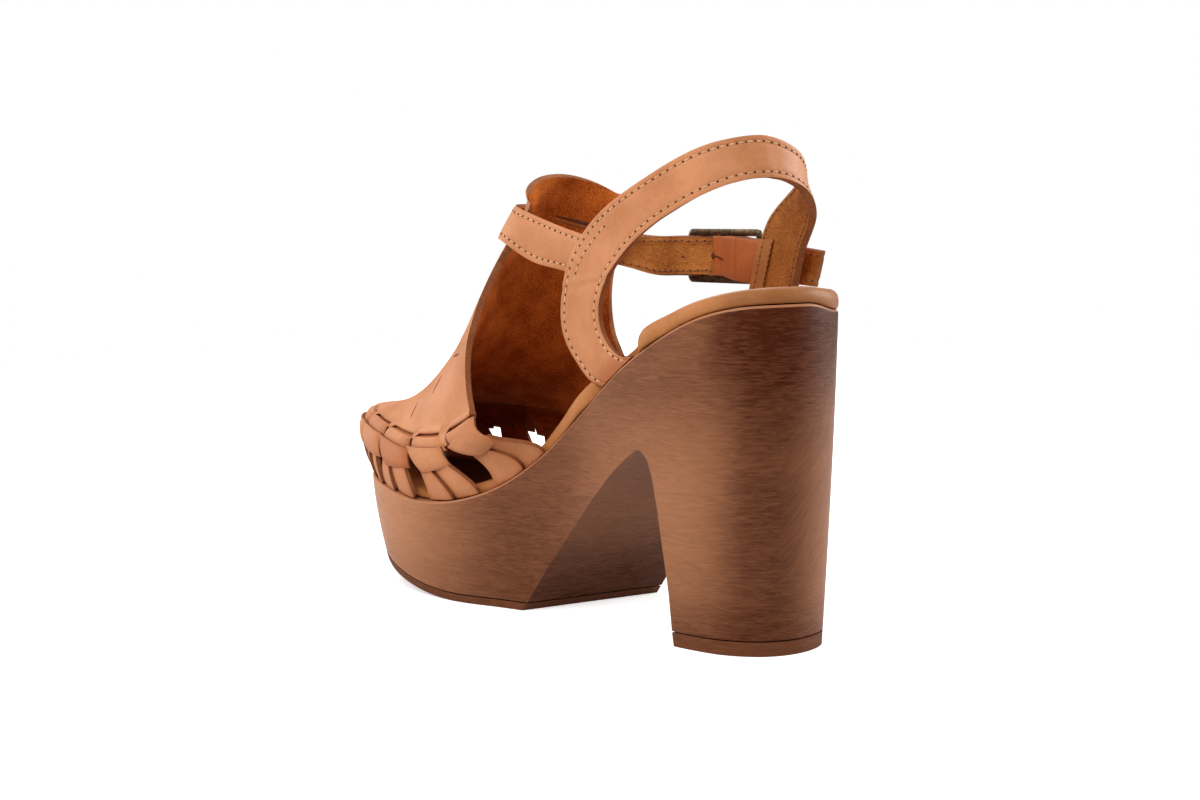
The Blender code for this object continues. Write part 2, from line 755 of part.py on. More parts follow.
def rounded_rectangle(curve, left, right, low, high, radius):
    """A closed outline with rounded corners as one spline of a flat curve."""
    points = []
    corners = ((right, high, 0), (left, high, 90), (left, low, 180), (right, low, 270))
    for x, z, start in corners:
        middle_x = x - radius if start in (0, 270) else x + radius
        middle_z = z - radius if start in (0, 90) else z + radius
        for k in range(4):
            angle = radians(start + 30 * k)
            points.append((middle_x + radius * cos(angle), middle_z + radius * sin(angle)))
    spline = curve.splines.new("POLY")
    spline.points.add(len(points) - 1)
    for target, (x, z) in zip(spline.points, points):
        target.co = (x * MM, z * MM, 0.0, 1.0)
    spline.use_cyclic_u = True


def make_buckle(parts, brass):
    """The buckle's flat frame with its centre bar, and the prong that lies over the strap."""
    flat = bpy.data.curves.new("buckle_frame", "CURVE")
    flat.dimensions = "2D"
    flat.fill_mode = "BOTH"
    flat.extrude = BUCKLE_THICK / 2 * MM
    rounded_rectangle(flat, BUCKLE_REAR, BUCKLE_FRONT, BUCKLE_LOW, BUCKLE_HIGH, BUCKLE_CORNER)
    low, high = BUCKLE_LOW + BUCKLE_RAIL, BUCKLE_HIGH - BUCKLE_RAIL
    rounded_rectangle(flat, BUCKLE_REAR + BUCKLE_RAIL, BUCKLE_BAR[0], low, high, BUCKLE_CORNER / 4)
    rounded_rectangle(flat, BUCKLE_BAR[1], BUCKLE_FRONT - BUCKLE_RAIL, low, high, BUCKLE_CORNER / 4)
    flat.materials.append(brass)
    frame = bpy.data.objects.new("buckle_frame", flat)
    frame.rotation_euler = (pi / 2, 0, 0)
    frame.location = (0, (BUCKLE_INNER_Y - BUCKLE_THICK / 2) * MM, 0)
    parts.objects.link(frame)

    rod = bpy.data.curves.new("buckle_prong", "CURVE")
    rod.dimensions = "3D"
    rod.bevel_depth = PRONG_RADIUS * MM
    rod.bevel_resolution = 2
    rod.use_fill_caps = True
    path = edge_curve([Vector((row.x, row.y, PRONG_Z)) for row in PRONG])
    spline = rod.splines.new("POLY")
    spline.points.add(PRONG_STEPS)
    for k in range(PRONG_STEPS + 1):
        spline.points[k].co = (*(path(k / PRONG_STEPS) * MM), 1.0)
    rod.materials.append(brass)
    parts.objects.link(bpy.data.objects.new("buckle_prong", rod))


def centre_on_floor(parts, tools):
    """Hangs every piece on an empty, so that the origin is under the middle of the shoe."""
    bpy.context.view_layer.update()
    graph = bpy.context.evaluated_depsgraph_get()
    points = []
    for thing in parts.objects:
        ready = thing.evaluated_get(graph)
        points += [thing.matrix_world @ vertex.co for vertex in ready.to_mesh().vertices]
        ready.to_mesh_clear()
    low = [min(point[axis] for point in points) for axis in range(3)]
    high = [max(point[axis] for point in points) for axis in range(3)]
    root = bpy.data.objects.new("heeled_sandal_origin", None)
    root.location = (-(low[0] + high[0]) / 2, -(low[1] + high[1]) / 2, -low[2])
    for collection in (parts, *tools):
        for thing in collection.objects:
            thing.parent = root
    parts.objects.link(root)


def main():
    for thing in list(bpy.data.objects):
        bpy.data.objects.remove(thing)
    parts, tools, weave = (bpy.data.collections.new(n) for n in ("heeled_sandal", "cutters", "woven_strips"))
    for collection in (parts, tools, weave):
        bpy.context.scene.collection.children.link(collection)
    wood = finish("stained_wood", (0.19, 0.075, 0.037), 0.42)
    rubber = finish("brown_rubber", (0.16, 0.065, 0.034), 0.6)
    padding = finish("golden_leather", (0.42, 0.19, 0.07), 0.5)
    leather = finish("tan_leather", (0.55, 0.25, 0.12), 0.48)
    brass = finish("antique_brass", (0.16, 0.12, 0.07), 0.4, 1.0)
    make_sole(parts, tools, wood, rubber)
    make_insole(parts, padding)
    make_vamp(parts, weave, leather)
    make_straps(parts, tools, leather)
    make_tab(parts, tools, leather)
    make_buckle(parts, brass)
    centre_on_floor(parts, (tools, weave))


main()
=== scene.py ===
# %% [markdown]
# # A platform sandal with a woven toe
# This lesson dresses the CAD frame of a right-foot sandal: a wooden platform and heel in one, a padded
# footbed, a leather vamp laced to the rim by woven strips, and two straps closed by a buckle.
# The frame tells us where everything sits, so the first thing to do is to load it and take its measure.

# %% Load the frame
from math import pi, radians

import bpy
import numpy as np
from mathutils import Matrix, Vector


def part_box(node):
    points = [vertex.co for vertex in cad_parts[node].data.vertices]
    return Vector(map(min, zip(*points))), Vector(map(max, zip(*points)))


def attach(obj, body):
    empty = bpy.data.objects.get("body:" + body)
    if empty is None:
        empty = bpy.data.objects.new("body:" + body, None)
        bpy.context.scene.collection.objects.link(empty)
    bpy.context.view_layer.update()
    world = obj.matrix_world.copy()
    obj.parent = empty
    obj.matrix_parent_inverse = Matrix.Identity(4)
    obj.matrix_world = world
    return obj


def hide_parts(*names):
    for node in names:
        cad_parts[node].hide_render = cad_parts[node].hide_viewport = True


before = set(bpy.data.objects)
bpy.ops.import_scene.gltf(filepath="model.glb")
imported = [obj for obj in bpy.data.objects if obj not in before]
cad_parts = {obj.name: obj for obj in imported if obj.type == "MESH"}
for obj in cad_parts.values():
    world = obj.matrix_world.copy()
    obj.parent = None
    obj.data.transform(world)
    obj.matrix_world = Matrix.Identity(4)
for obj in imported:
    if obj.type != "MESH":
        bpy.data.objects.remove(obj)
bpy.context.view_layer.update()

MM, MERGE = 0.001, 0.00001
BUCKLE_REAR, BUCKLE_INNER = 64.5, -41.5
near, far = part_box("buckle_frame")
SHIFT = np.array([near[0] - BUCKLE_REAR * MM, far[1] - BUCKLE_INNER * MM, 0.0])
print("heel's back sits at", [round(v / MM, 3) for v in SHIFT], "mm")

# %% [markdown]
# Every sheet of leather here starts as a grid primitive whose vertices are laid on a surface, given in
# millimetres from the heel's back. Modifiers then give it thickness and soft edges.

# %% Small tools for modelling
def choose(*things):
    """Selects these objects only, the first one active."""
    bpy.ops.object.select_all(action="DESELECT")
    for thing in things:
        thing.select_set(True)
    if things:
        bpy.context.view_layer.objects.active = things[0]


def sheet(name, points, out=None, marks=None):
    """A grid laid on rows of points. It faces out, and its marks are numbers kept at each point."""
    rows, columns = points.shape[:2]
    marks = marks or {}
    if out is not None:
        i, j = rows // 2, columns // 2
        face = np.cross(points[i, j] - points[i, j - 1], points[i, j] - points[i - 1, j])
        if face @ np.asarray(out, float) < 0:
            points = points[:, ::-1]
            marks = {key: mark[:, ::-1] for key, mark in marks.items()}
    choose()
    bpy.ops.mesh.primitive_grid_add(x_subdivisions=columns - 1, y_subdivisions=rows - 1, size=1.0)
    piece = bpy.context.object
    piece.name = piece.data.name = name
    piece.data.vertices.foreach_set("co", (points.reshape(-1, 3) * MM + SHIFT).ravel())
    for key, mark in marks.items():
        layer = piece.data.attributes.new(key, "FLOAT", "POINT")
        layer.data.foreach_set("value", np.ascontiguousarray(mark, np.float32).ravel())
    piece.data.update()
    return piece


def close(piece):
    """Merges the seams, fills the ends and turns every face outwards."""
    choose(piece)
    bpy.ops.object.mode_set(mode="EDIT")
    bpy.ops.mesh.select_all(action="SELECT")
    bpy.ops.mesh.remove_doubles(threshold=MERGE)
    bpy.ops.mesh.fill_holes(sides=0)
    bpy.ops.mesh.select_all(action="SELECT")
    bpy.ops.mesh.normals_make_consistent(inside=False)
    bpy.ops.object.mode_set(mode="OBJECT")


def loft(name, rings, marks=None):
    """A closed skin over rings of points."""
    marks = {key: np.concatenate([mark, mark[:, :1]], axis=1) for key, mark in (marks or {}).items()}
    piece = sheet(name, np.concatenate([rings, rings[:, :1]], axis=1), marks=marks)
    close(piece)
    return piece


print("tools: choose, sheet, close, loft")

# %% [markdown]
# A sheet becomes leather when it gets a thickness, a back and a raw rim. Solidify gives all three, with a
# material for each, and a Bevel rounds the cut edges off. A finished piece is shaded smooth up to its sharp
# edges and rides on the shoe's one body.

# %% Finishing a piece
CUT_EDGE_ANGLE = radians(60)


def apply(piece, kind, **settings):
    """Adds a modifier, sets it and applies it."""
    choose(piece)
    step = piece.modifiers.new(kind.lower(), kind)
    for key, value in settings.items():
        setattr(step, key, value)
    bpy.ops.object.modifier_apply(modifier=step.name)


def thicken(piece, thickness, edge, **settings):
    """Gives a sheet a thickness, with its back and rim in other materials, and rounds its cut edges."""
    settings = {"offset": -1.0, "material_offset": 1, "material_offset_rim": 2, **settings}
    apply(piece, "SOLIDIFY", thickness=thickness * MM, **settings)
    apply(piece, "BEVEL", width=edge * MM, segments=2, limit_method="ANGLE", angle_limit=CUT_EDGE_ANGLE)


def dress(piece, *finishes):
    """Gives a piece its materials, in the order of its faces' numbers."""
    piece.data.materials.clear()
    for finish in finishes:
        piece.data.materials.append(finish)


def keep(piece, slot, *nodes, angle=35):
    """Shades a finished piece, fixes it to the shoe and hides the CAD nodes that it stands for."""
    choose(piece)
    bpy.ops.object.shade_smooth_by_angle(angle=radians(angle))
    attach(piece, "root")
    if nodes:
        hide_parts(*nodes)
    print(piece.name, len(piece.data.polygons), "faces")


def join(name, pieces):
    """One piece made of several."""
    choose(*pieces)
    bpy.ops.object.join()
    whole = bpy.context.object
    whole.name = whole.data.name = name
    return whole


print("tools: apply, thicken, dress, keep, join")

# %% [markdown]
# A maker's pattern is a table of sizes. These curves read a table smoothly between its rows. Ramps and dents
# are the soft steps and troughs that wear, creases and grooves are made of.

# %% Curves through tables
def curve_through(places, values):
    """A smooth curve through the values, read at any places along it."""
    places, values = np.asarray(places, float), np.asarray(values, float)
    steps = np.diff(places)
    slopes = np.diff(values) / steps
    inner = (slopes[:-1] * steps[1:] + slopes[1:] * steps[:-1]) / (steps[:-1] + steps[1:])
    tangents = np.concatenate([slopes[:1], inner, slopes[-1:]])

    def read(place):
        place = np.clip(place, places[0], places[-1])
        k = np.clip(np.searchsorted(places, place) - 1, 0, len(steps) - 1)
        t = (place - places[k]) / steps[k]
        start = values[k] * (1 + 2 * t) + tangents[k] * steps[k] * t
        end = values[k + 1] * (3 - 2 * t) + tangents[k + 1] * steps[k] * (t - 1)
        return start * (1 - t) ** 2 + end * t * t

    return read


def unit(vectors):
    """The same directions with length one."""
    return vectors / np.maximum(np.linalg.norm(vectors, axis=-1, keepdims=True), 1e-9)


def smooth_step(value):
    """0 below nought, 1 above one and a soft slope between."""
    value = np.clip(value, 0.0, 1.0)
    return value * value * (3 - 2 * value)


def ramp(value, start, end):
    """A soft slope: 0 before its start and 1 past its end."""
    return smooth_step((value - start) / (end - start))


def dent(distance, width):
    """A soft trough: 1 on its line, 0 away from it."""
    return np.exp(-(np.asarray(distance) / width) ** 2)


print("a ramp at a quarter of its way:", float(ramp(0.25, 0.0, 1.0)))

# %% [markdown]
# The materials come next. They could be painted, but a painted picture has a fixed sharpness and a seam.
# Noise in Object coordinates has neither, so each effect is a shader group made of noises, and a material
# mixes its own colours into it. First come short ways to add and link the nodes.

# %% Shader tools
def add(tree, kind, inputs=None, **settings):
    """Adds a shader node and sets or links its inputs."""
    node = tree.nodes.new("ShaderNode" + kind)
    for key, value in settings.items():
        setattr(node, key, value)
    for key, value in (inputs or {}).items():
        if isinstance(value, bpy.types.NodeSocket):
            tree.links.new(value, node.inputs[key])
        else:
            node.inputs[key].default_value = value
    return node


def blend(tree, factor, a, b):
    """A colour between two others."""
    return add(tree, "Mix", {0: factor, 6: a, 7: b}, data_type="RGBA").outputs[2]


def scaled(tree, value, low, high, to_low=0.0, to_high=1.0):
    """A value moved from one range to another."""
    return add(tree, "MapRange", {0: value, 1: low, 2: high, 3: to_low, 4: to_high}).outputs[0]


def sum_of(tree, a, b, operation="ADD"):
    """Two values added, or joined by another operation."""
    return add(tree, "Math", {0: a, 1: b}, operation=operation).outputs[0]


def weighed(tree, *parts):
    """Values added up, each times its weight."""
    total = None
    for value, weight in parts:
        share = sum_of(tree, value, weight, "MULTIPLY")
        total = share if total is None else sum_of(tree, total, share)
    return total


def noise(tree, place, scale, detail=3.0, distortion=0.0):
    """Cloudy values between 0 and 1; a larger scale makes smaller clouds."""
    inputs = {"Vector": place, "Scale": scale, "Detail": detail, "Distortion": distortion}
    return add(tree, "TexNoise", inputs).outputs[0]


def mark(tree, name):
    """A number kept at the points of a piece; nought where the piece has none."""
    return add(tree, "Attribute", attribute_name=name).outputs["Fac"]


def effect(name, rough):
    """A new shader group: three colours go in, and colour, roughness and height come out."""
    group = bpy.data.node_groups.new(name, "ShaderNodeTree")
    for socket in ("Dark", "Light", "Wear_and_light_tone"):
        group.interface.new_socket(socket, in_out="INPUT", socket_type="NodeSocketColor")
    group.interface.new_socket("Rough", in_out="INPUT", socket_type="NodeSocketFloat").default_value = rough
    group.interface.new_socket("Color", in_out="OUTPUT", socket_type="NodeSocketColor")
    for socket in ("Roughness", "Height"):
        group.interface.new_socket(socket, in_out="OUTPUT", socket_type="NodeSocketFloat")
    start = add(group, "TexCoord").outputs["Object"]
    return group, group.nodes.new("NodeGroupInput").outputs, start


def give(group, color, roughness, height):
    """Links what a shader group puts out."""
    out = group.nodes.new("NodeGroupOutput")
    for socket, value in (("Color", color), ("Roughness", roughness), ("Height", height)):
        group.links.new(value, out.inputs[socket])


print("tools: add, blend, scaled, sum_of, weighed, noise, mark, effect, give")

# %% [markdown]
# Smooth leather has a mottled tone, fine grain and pores, and where it is tooled a stippled ground. Suede is
# the same skin's fuzzy side: a speckled nap over soft clouds of tone. Both turn to a third colour where a
# piece
# carries its mark: wear at the sling strap's foot, painted shade on the woven strips and the footbed.

# %% Leather and suede
def leather_effect():
    """Mottled smooth leather with pores, stippled where it is tooled."""
    group, given, place = effect("smooth_leather", 0.45)
    mottle = noise(group, place, 55.0, 4.0)
    fine = noise(group, place, 650.0, 4.0)
    pores = add(group, "TexVoronoi", {"Vector": place, "Scale": 1500.0}).outputs["Distance"]
    tone = weighed(group, (mottle, 0.75), (fine, 0.25))
    color = blend(group, scaled(group, tone, 0.36, 0.64), given["Dark"], given["Light"])
    # The mark blends in the third colour: painted shade on the woven strips and the footbed, wear at the
    # sling strap's foot.
    color = blend(group, mark(group, "wear_and_painted_light"), color, given["Wear_and_light_tone"])
    rough = sum_of(group, given["Rough"], scaled(group, fine, 0.3, 0.7, -0.06, 0.08))
    stipple = noise(group, place, 1100.0, 2.0)
    tooled = sum_of(group, stipple, mark(group, "tooled"), "MULTIPLY")
    give(group, color, rough, weighed(group, (pores, 0.4), (fine, 0.8), (tooled, 3.0)))
    return group


def suede_effect():
    """Speckled nap over soft clouds."""
    group, given, place = effect("suede_nap", 0.9)
    cloud = noise(group, place, 90.0, 3.0)
    nap = noise(group, place, 1500.0, 5.0)
    tone = weighed(group, (cloud, 0.45), (nap, 0.55))
    color = blend(group, scaled(group, tone, 0.38, 0.62), given["Dark"], given["Light"])
    # The mark blends in the third colour: painted shade on the woven strips' backs and rims, wear at the
    # sling strap's foot.
    color = blend(group, mark(group, "wear_and_painted_light"), color, given["Wear_and_light_tone"])
    give(group, color, sum_of(group, given["Rough"], scaled(group, nap, 0.3, 0.7, -0.05, 0.05)), nap)
    return group


LEATHER, SUEDE = leather_effect(), suede_effect()
print("shader groups:", LEATHER.name, SUEDE.name)

# %% [markdown]
# The sole's grain is noise squeezed flat, so that it runs round the shoe in long streaks. On the heel's back
# it slants, so a turned copy is mixed in by the mark "slanted". The buckle's patina is two sizes of cloud.

# %% Wood and metal
GRAIN_TILT = radians(-42.0)


def wood_effect():
    """Long streaks of grain, paler where the mark paints worn stain and reflection, darker where it paints
    shade.
    """
    group, given, place = effect("wood_grain", 0.42)
    wavy = add(group, "Mapping", {"Vector": place, "Scale": (150.0, 150.0, 1300.0)}).outputs[0]
    tilt = {"Vector": place, "Rotation": (GRAIN_TILT, 0.0, 0.0), "Scale": (1 / 130.0, 1 / 130.0, 1 / 900.0)}
    slanted = noise(group, add(group, "Mapping", tilt, vector_type="TEXTURE").outputs[0], 1.0, 3.0, 0.8)
    grain = noise(group, wavy, 1.0, 4.0, 1.2)
    grain = add(group, "Mix", {0: mark(group, "slanted"), 2: grain, 3: slanted}).outputs[0]
    streak = add(group, "Mapping", {"Vector": place, "Scale": (20.0, 20.0, 60.0)}).outputs[0]
    broad = noise(group, streak, 1.0, 3.0, 0.6)
    tone = weighed(group, (grain, 0.7), (broad, 0.3))
    color = blend(group, scaled(group, tone, 0.36, 0.64), given["Dark"], given["Light"])
    # The mark paints paler worn stain and painted reflection of the soft boxes; where it stays low, painted
    # shade.
    wear = sum_of(group, mark(group, "wear_and_painted_light"), scaled(group, tone, 0.36, 0.64, -0.07, 0.07))
    color = blend(group, wear, color, given["Wear_and_light_tone"])
    give(group, color, sum_of(group, given["Rough"], scaled(group, grain, 0.3, 0.7, 0.07, -0.05)), grain)
    return group


def metal_effect():
    """Clouds of dark patina."""
    group, given, place = effect("patina", 0.38)
    cloud = noise(group, place, 260.0, 4.0)
    fine = noise(group, place, 1800.0, 3.0)
    tone = weighed(group, (cloud, 0.7), (fine, 0.3))
    color = blend(group, scaled(group, tone, 0.4, 0.62), given["Dark"], given["Light"])
    give(group, color, sum_of(group, given["Rough"], scaled(group, cloud, 0.35, 0.65, 0.12, -0.08)), fine)
    return group


WOOD, METAL = wood_effect(), metal_effect()
print("shader groups:", WOOD.name, METAL.name)

# %% [markdown]
# Each material names a dark and a light tone for its effect, and a third one that its mark blends in: wear on
# the sling strap, painted shade on the strips and the footbed, painted reflection and shade on the sole. The
# gloss stays on the material's own shader: the smooth leather is satin, suede has hardly any shine, and the
# stained sole has a thin coat of lacquer.

# %% Materials
def material(name, group, dark, light, wear_and_light=None, rough=0.45, bump=0.3, depth=0.0003, **shader_values):
    """A material that mixes its own colours into a shared effect."""
    made = bpy.data.materials.new(name)
    made.use_nodes = True
    tree = made.node_tree
    shader = tree.nodes["Principled BSDF"]
    look = tree.nodes.new("ShaderNodeGroup")
    look.node_tree = group
    for socket, color in (("Dark", dark), ("Light", light), ("Wear_and_light_tone", wear_and_light or dark)):
        look.inputs[socket].default_value = (*color, 1.0)
    look.inputs["Rough"].default_value = rough
    relief = add(tree, "Bump", {"Strength": bump, "Distance": depth, "Height": look.outputs["Height"]})
    tree.links.new(look.outputs["Color"], shader.inputs["Base Color"])
    tree.links.new(look.outputs["Roughness"], shader.inputs["Roughness"])
    tree.links.new(relief.outputs[0], shader.inputs["Normal"])
    for key, value in shader_values.items():
        shader.inputs[key.replace("_", " ")].default_value = value
    return made


# Third colour of the tan: painted shade on the woven strips, wear at the foot of the sling strap.
tan = material("tan_leather", LEATHER, (0.50, 0.185, 0.070), (0.64, 0.262, 0.114), (0.36, 0.085, 0.02), 0.5,
               Specular_IOR_Level=0.25)
lining = material("lining", LEATHER, (0.28, 0.08, 0.012), (0.52, 0.19, 0.042), (0.13, 0.04, 0.012), 0.65, 1.0,
                  0.0008, Specular_IOR_Level=0.15)
raw_edge = material("raw_edge", SUEDE, (0.20, 0.06, 0.022), (0.34, 0.125, 0.05), rough=0.85, bump=0.5,
                    Specular_IOR_Level=0.1)
# A near-black suede for painted shadow: the carved strokes and the tab's slot.
painted_shadow = material("painted_shadow", SUEDE, (0.075, 0.02, 0.007), (0.16, 0.05, 0.018), rough=0.9, bump=0.5,
                     Specular_IOR_Level=0.1)
suede = material("suede", SUEDE, (0.27, 0.045, 0.005), (0.62, 0.16, 0.024), rough=0.95, bump=0.8,
                 Specular_IOR_Level=0.1)
# Darker suede for the woven strips' backs: painted shade inside the shoe.
shaded_suede = material("shaded_suede", SUEDE, (0.24, 0.038, 0.004), (0.46, 0.095, 0.012), rough=0.95, bump=0.6,
                      Specular_IOR_Level=0.05)
# Third colour nearly black: painted shade on the footbed inside the toe and at the heel's back.
padding = material("padded_leather", LEATHER, (0.38, 0.135, 0.035), (0.50, 0.195, 0.065),
                   (0.07, 0.016, 0.004), 0.48, Specular_IOR_Level=0.2)
fold = material("folded_leather", LEATHER, (0.36, 0.085, 0.018), (0.47, 0.13, 0.034), rough=0.45,
                Specular_IOR_Level=0.25)
# Third colour pale: worn stain and painted reflection of the soft boxes on the sole.
wood = material("stained_wood", WOOD, (0.058, 0.009, 0.001), (0.090, 0.017, 0.003), (0.56, 0.243, 0.118), 0.5,
                0.5, Specular_IOR_Level=0.06, Coat_Weight=0.4, Coat_IOR=1.25, Coat_Roughness=0.28)
rubber = material("brown_rubber", WOOD, (0.125, 0.038, 0.013), (0.19, 0.064, 0.026), (0.20, 0.07, 0.03), 0.55,
                  0.2, Specular_IOR_Level=0.15)
brass = material("antique_brass", METAL, (0.06, 0.04, 0.022), (0.24, 0.18, 0.10), rough=0.36, bump=0.15,
                 Metallic=1.0)
thread = material("cream_thread", SUEDE, (0.55, 0.28, 0.13), (0.78, 0.47, 0.26), rough=0.7, bump=0.3,
                  Specular_IOR_Level=0.2)
brown_thread = material("brown_thread", SUEDE, (0.26, 0.10, 0.035), (0.42, 0.18, 0.07), rough=0.7, bump=0.3,
                        Specular_IOR_Level=0.2)
hollow = material("hole_shadow", SUEDE, (0.07, 0.02, 0.007), (0.13, 0.04, 0.015), rough=0.95, bump=0.2)
print("materials:", len(bpy.data.materials))

# %% [markdown]
# The sole is one block of stained wood. Seen from above its outline is a table of half widths; an angle
# walks round it from the heel's back (0) over the medial side to the toe (pi) and home again.

# %% Pattern of the sole
LENGTH = 236.5
# Outline: distance from the heel's back, medial half width, lateral half width
OUTLINE = np.array((
    (0.0, 0.0, 0.0), (6.0, 18.5, 20.5), (16.0, 27.0, 29.5), (32.0, 31.5, 34.0), (60.0, 32.0, 35.5),
    (95.0, 31.0, 38.5), (125.0, 36.0, 43.0), (150.0, 42.0, 46.0), (170.0, 45.0, 46.5),
    (190.0, 44.0, 43.0), (208.0, 37.6, 34.5), (222.0, 27.4, 23.0), (231.5, 15.0, 12.0),
    (LENGTH, 0.0, 0.0),
)).T
# Side: distance, height of the top edge, inset of the foot
SOLE = np.array((
    (0.0, 120.5, 3.0), (8.0, 119.8, 4.5), (23.0, 116.0, 6.0), (40.0, 108.3, 6.5), (60.0, 97.0, 6.5),
    (83.0, 79.3, 7.0), (106.0, 60.5, 7.2), (125.0, 48.6, 6.4), (144.0, 41.5, 4.9), (167.0, 38.8, 5.2),
    (192.0, 41.7, 5.2), (215.0, 44.5, 5.6), (LENGTH, 46.0, 6.0),
)).T
# Arch: height, back of the space, front of the space
ARCH = np.array((
    (-3.0, 38.6, 124.0), (0.0, 39.0, 121.4), (20.0, 40.2, 105.0), (36.0, 42.1, 90.6),
    (53.0, 44.4, 73.4), (62.0, 46.5, 62.6), (66.2, 48.6, 56.6), (68.2, 51.2, 53.2),
)).T
GAP, LIFT_HEIGHT, OUTSOLE_HEIGHT = 0.5, 5.0, 3.0
MID_ARCH, ARCH_SLANT, ARCH_REACH = 80.0, 0.12, 60.0
TAPER, RIM_ROUND = 1.5, 1.0
DROP, DROP_WIDTH, DROP_FROM, DROP_REACH = 2.4, 18.0, 14.0, 22.0
# Toe spring: distance, height of the underside
SPRING = np.array((
    (0.0, 0.0), (140.0, 0.0), (152.0, 0.0), (163.0, 0.8), (176.5, 3.0), (190.0, 6.1), (204.0, 9.4),
    (215.0, 11.6), (226.0, 13.3), (LENGTH, 14.4),
)).T
print("the sole is", LENGTH, "mm long and", OUTLINE[1].max() + OUTLINE[2].max(), "mm wide")

# %% [markdown]
# The tables become curves now. Every later piece that touches the sole asks them where the sole is, so no
# piece has to be fitted by eye.

# %% Outline and side of the sole
def station(x):
    """The angle round the outline at a distance from the heel's back."""
    return np.arccos(np.clip(1.0 - 2.0 * np.asarray(x) / LENGTH, -1.0, 1.0))


medial_width = curve_through(station(OUTLINE[0]), OUTLINE[1])
lateral_width = curve_through(station(OUTLINE[0]), OUTLINE[2])
sole_top = curve_through(SOLE[0], SOLE[1])
sole_inset = curve_through(SOLE[0], SOLE[2])


def outline(turn):
    """The sole's top edge from above."""
    turn = np.mod(turn, 2 * pi)
    y = np.where(turn <= pi, medial_width(turn), -lateral_width(2 * pi - turn))
    return np.stack([LENGTH * (1 - np.cos(turn)) / 2, y], -1)


def rim(turn, inset):
    """The top edge moved inwards, seen from above."""
    along = unit(outline(turn + 0.01) - outline(turn - 0.01))
    return outline(turn) - np.asarray(inset)[..., None] * np.stack([-along[..., 1], along[..., 0]], -1)


toe_spring = curve_through(*SPRING)


def heel_drop(x, y):
    """How much lower the heel's edge lies on the lateral side."""
    return DROP * smooth_step(-y / DROP_WIDTH) * (1 - smooth_step((x - DROP_FROM) / DROP_REACH))


def side_point(turn, height):
    """A point of the sole's side at a height between floor and top edge, 0 to 1."""
    x, y = (part + 0.0 * height for part in np.moveaxis(outline(turn), -1, 0))
    low, top = toe_spring(x), sole_top(x) - heel_drop(x, y)
    place = rim(turn + 0.0 * height, sole_inset(x) * (1 - height) ** TAPER)
    return np.concatenate([place, (low + height * (top - low))[..., None]], -1)


def between(a, b, count):
    """Points on the straight way from a to b, without its ends."""
    share = np.linspace(0.0, 1.0, count + 2)[1:-1]
    return a[:, None] + (b - a)[:, None] * share[None, :, None]


print("sole at mid arch:", side_point(station(MID_ARCH), np.array(1.0)).round(1).tolist())

# %% [markdown]
# A wooden sole would be sawn and sanded from one block; the arch is then cut out of it. We loft its cross
# sections from heel to toe, with a rounded top edge, and take the arch away with a Boolean.

# %% Sections of the sole
def arch_tool():
    """The space under the shank, its platform side slanted forwards on the medial side."""
    z = np.linspace(ARCH[0][0], ARCH[0][-1], 70)
    breast, front = (curve_through(ARCH[0], row)(z) for row in ARCH[1:])
    rings = []
    for y in (ARCH_REACH, -ARCH_REACH):
        slant = ARCH_SLANT * (1 - np.maximum(z, 0.0) / ARCH[0][-1]) * (y - ARCH_REACH / 2)
        rear = np.stack([breast, np.full_like(z, y), z], -1)
        rings.append(np.concatenate([rear, np.stack([front + slant, np.full_like(z, y), z], -1)[::-1]]))
    return loft("arch_space", np.array(rings))


def cut(piece, tool):
    """Takes a tool's shape away from a piece."""
    apply(piece, "BOOLEAN", object=tool, operation="DIFFERENCE", solver="EXACT")


def sole_rings(turns, foot):
    """Cross sections of the sole from its foot up to the rounded edge and over the top."""
    levels = np.linspace(0.0, 1.0, 15)
    sides = []
    for side in (turns, 2 * pi - turns):
        x, y = outline(side).T
        low, top = toe_spring(x), sole_top(x) - heel_drop(x, y)
        start, edge = foot / (top - low), 1 - RIM_ROUND / (top - low)
        heights = start[:, None] + (edge - start)[:, None] * levels[None]
        wall = side_point(side[:, None], heights)
        bend = np.linspace(0.0, pi / 2, 6)[1:]
        round_rim = rim(side[:, None], np.broadcast_to(RIM_ROUND * (1 - np.cos(bend)), (len(x), 5)))
        lift = top[:, None] - RIM_ROUND * (1 - np.sin(bend))
        sides.append(np.concatenate([wall, np.concatenate([round_rim, lift[..., None]], -1)], 1))
    medial, lateral = sides
    over = between(medial[:, -1], lateral[:, -1], 6)
    under = between(lateral[:, 0], medial[:, 0], 4)
    return np.concatenate([medial, over, lateral[:, ::-1], under], 1)


print("one section has", sole_rings(station(np.array([MID_ARCH])), np.zeros(1)).shape[1], "points")

# %% [markdown]
# The stain is paler on some walls than on others: worn stain and painted reflection of the soft boxes, with
# painted shade under the footbed's lip and near the floor. A thin pale line runs along the top edge, a worn
# edge with a painted highlight. The tones are numbers kept at the corners of the faces, which the wood's
# shader reads, because two faces that meet at a sawn edge need different tones there.

# %% Wear of the stain and painted light
RIM_LINE, RIM_LINE_TONE = (0.7, 0.95), 0.75


def inside_edge(x, y):
    """How far a place lies inside the sole's outline."""
    return np.minimum(medial_width(station(x)) - y, lateral_width(station(x)) + y)


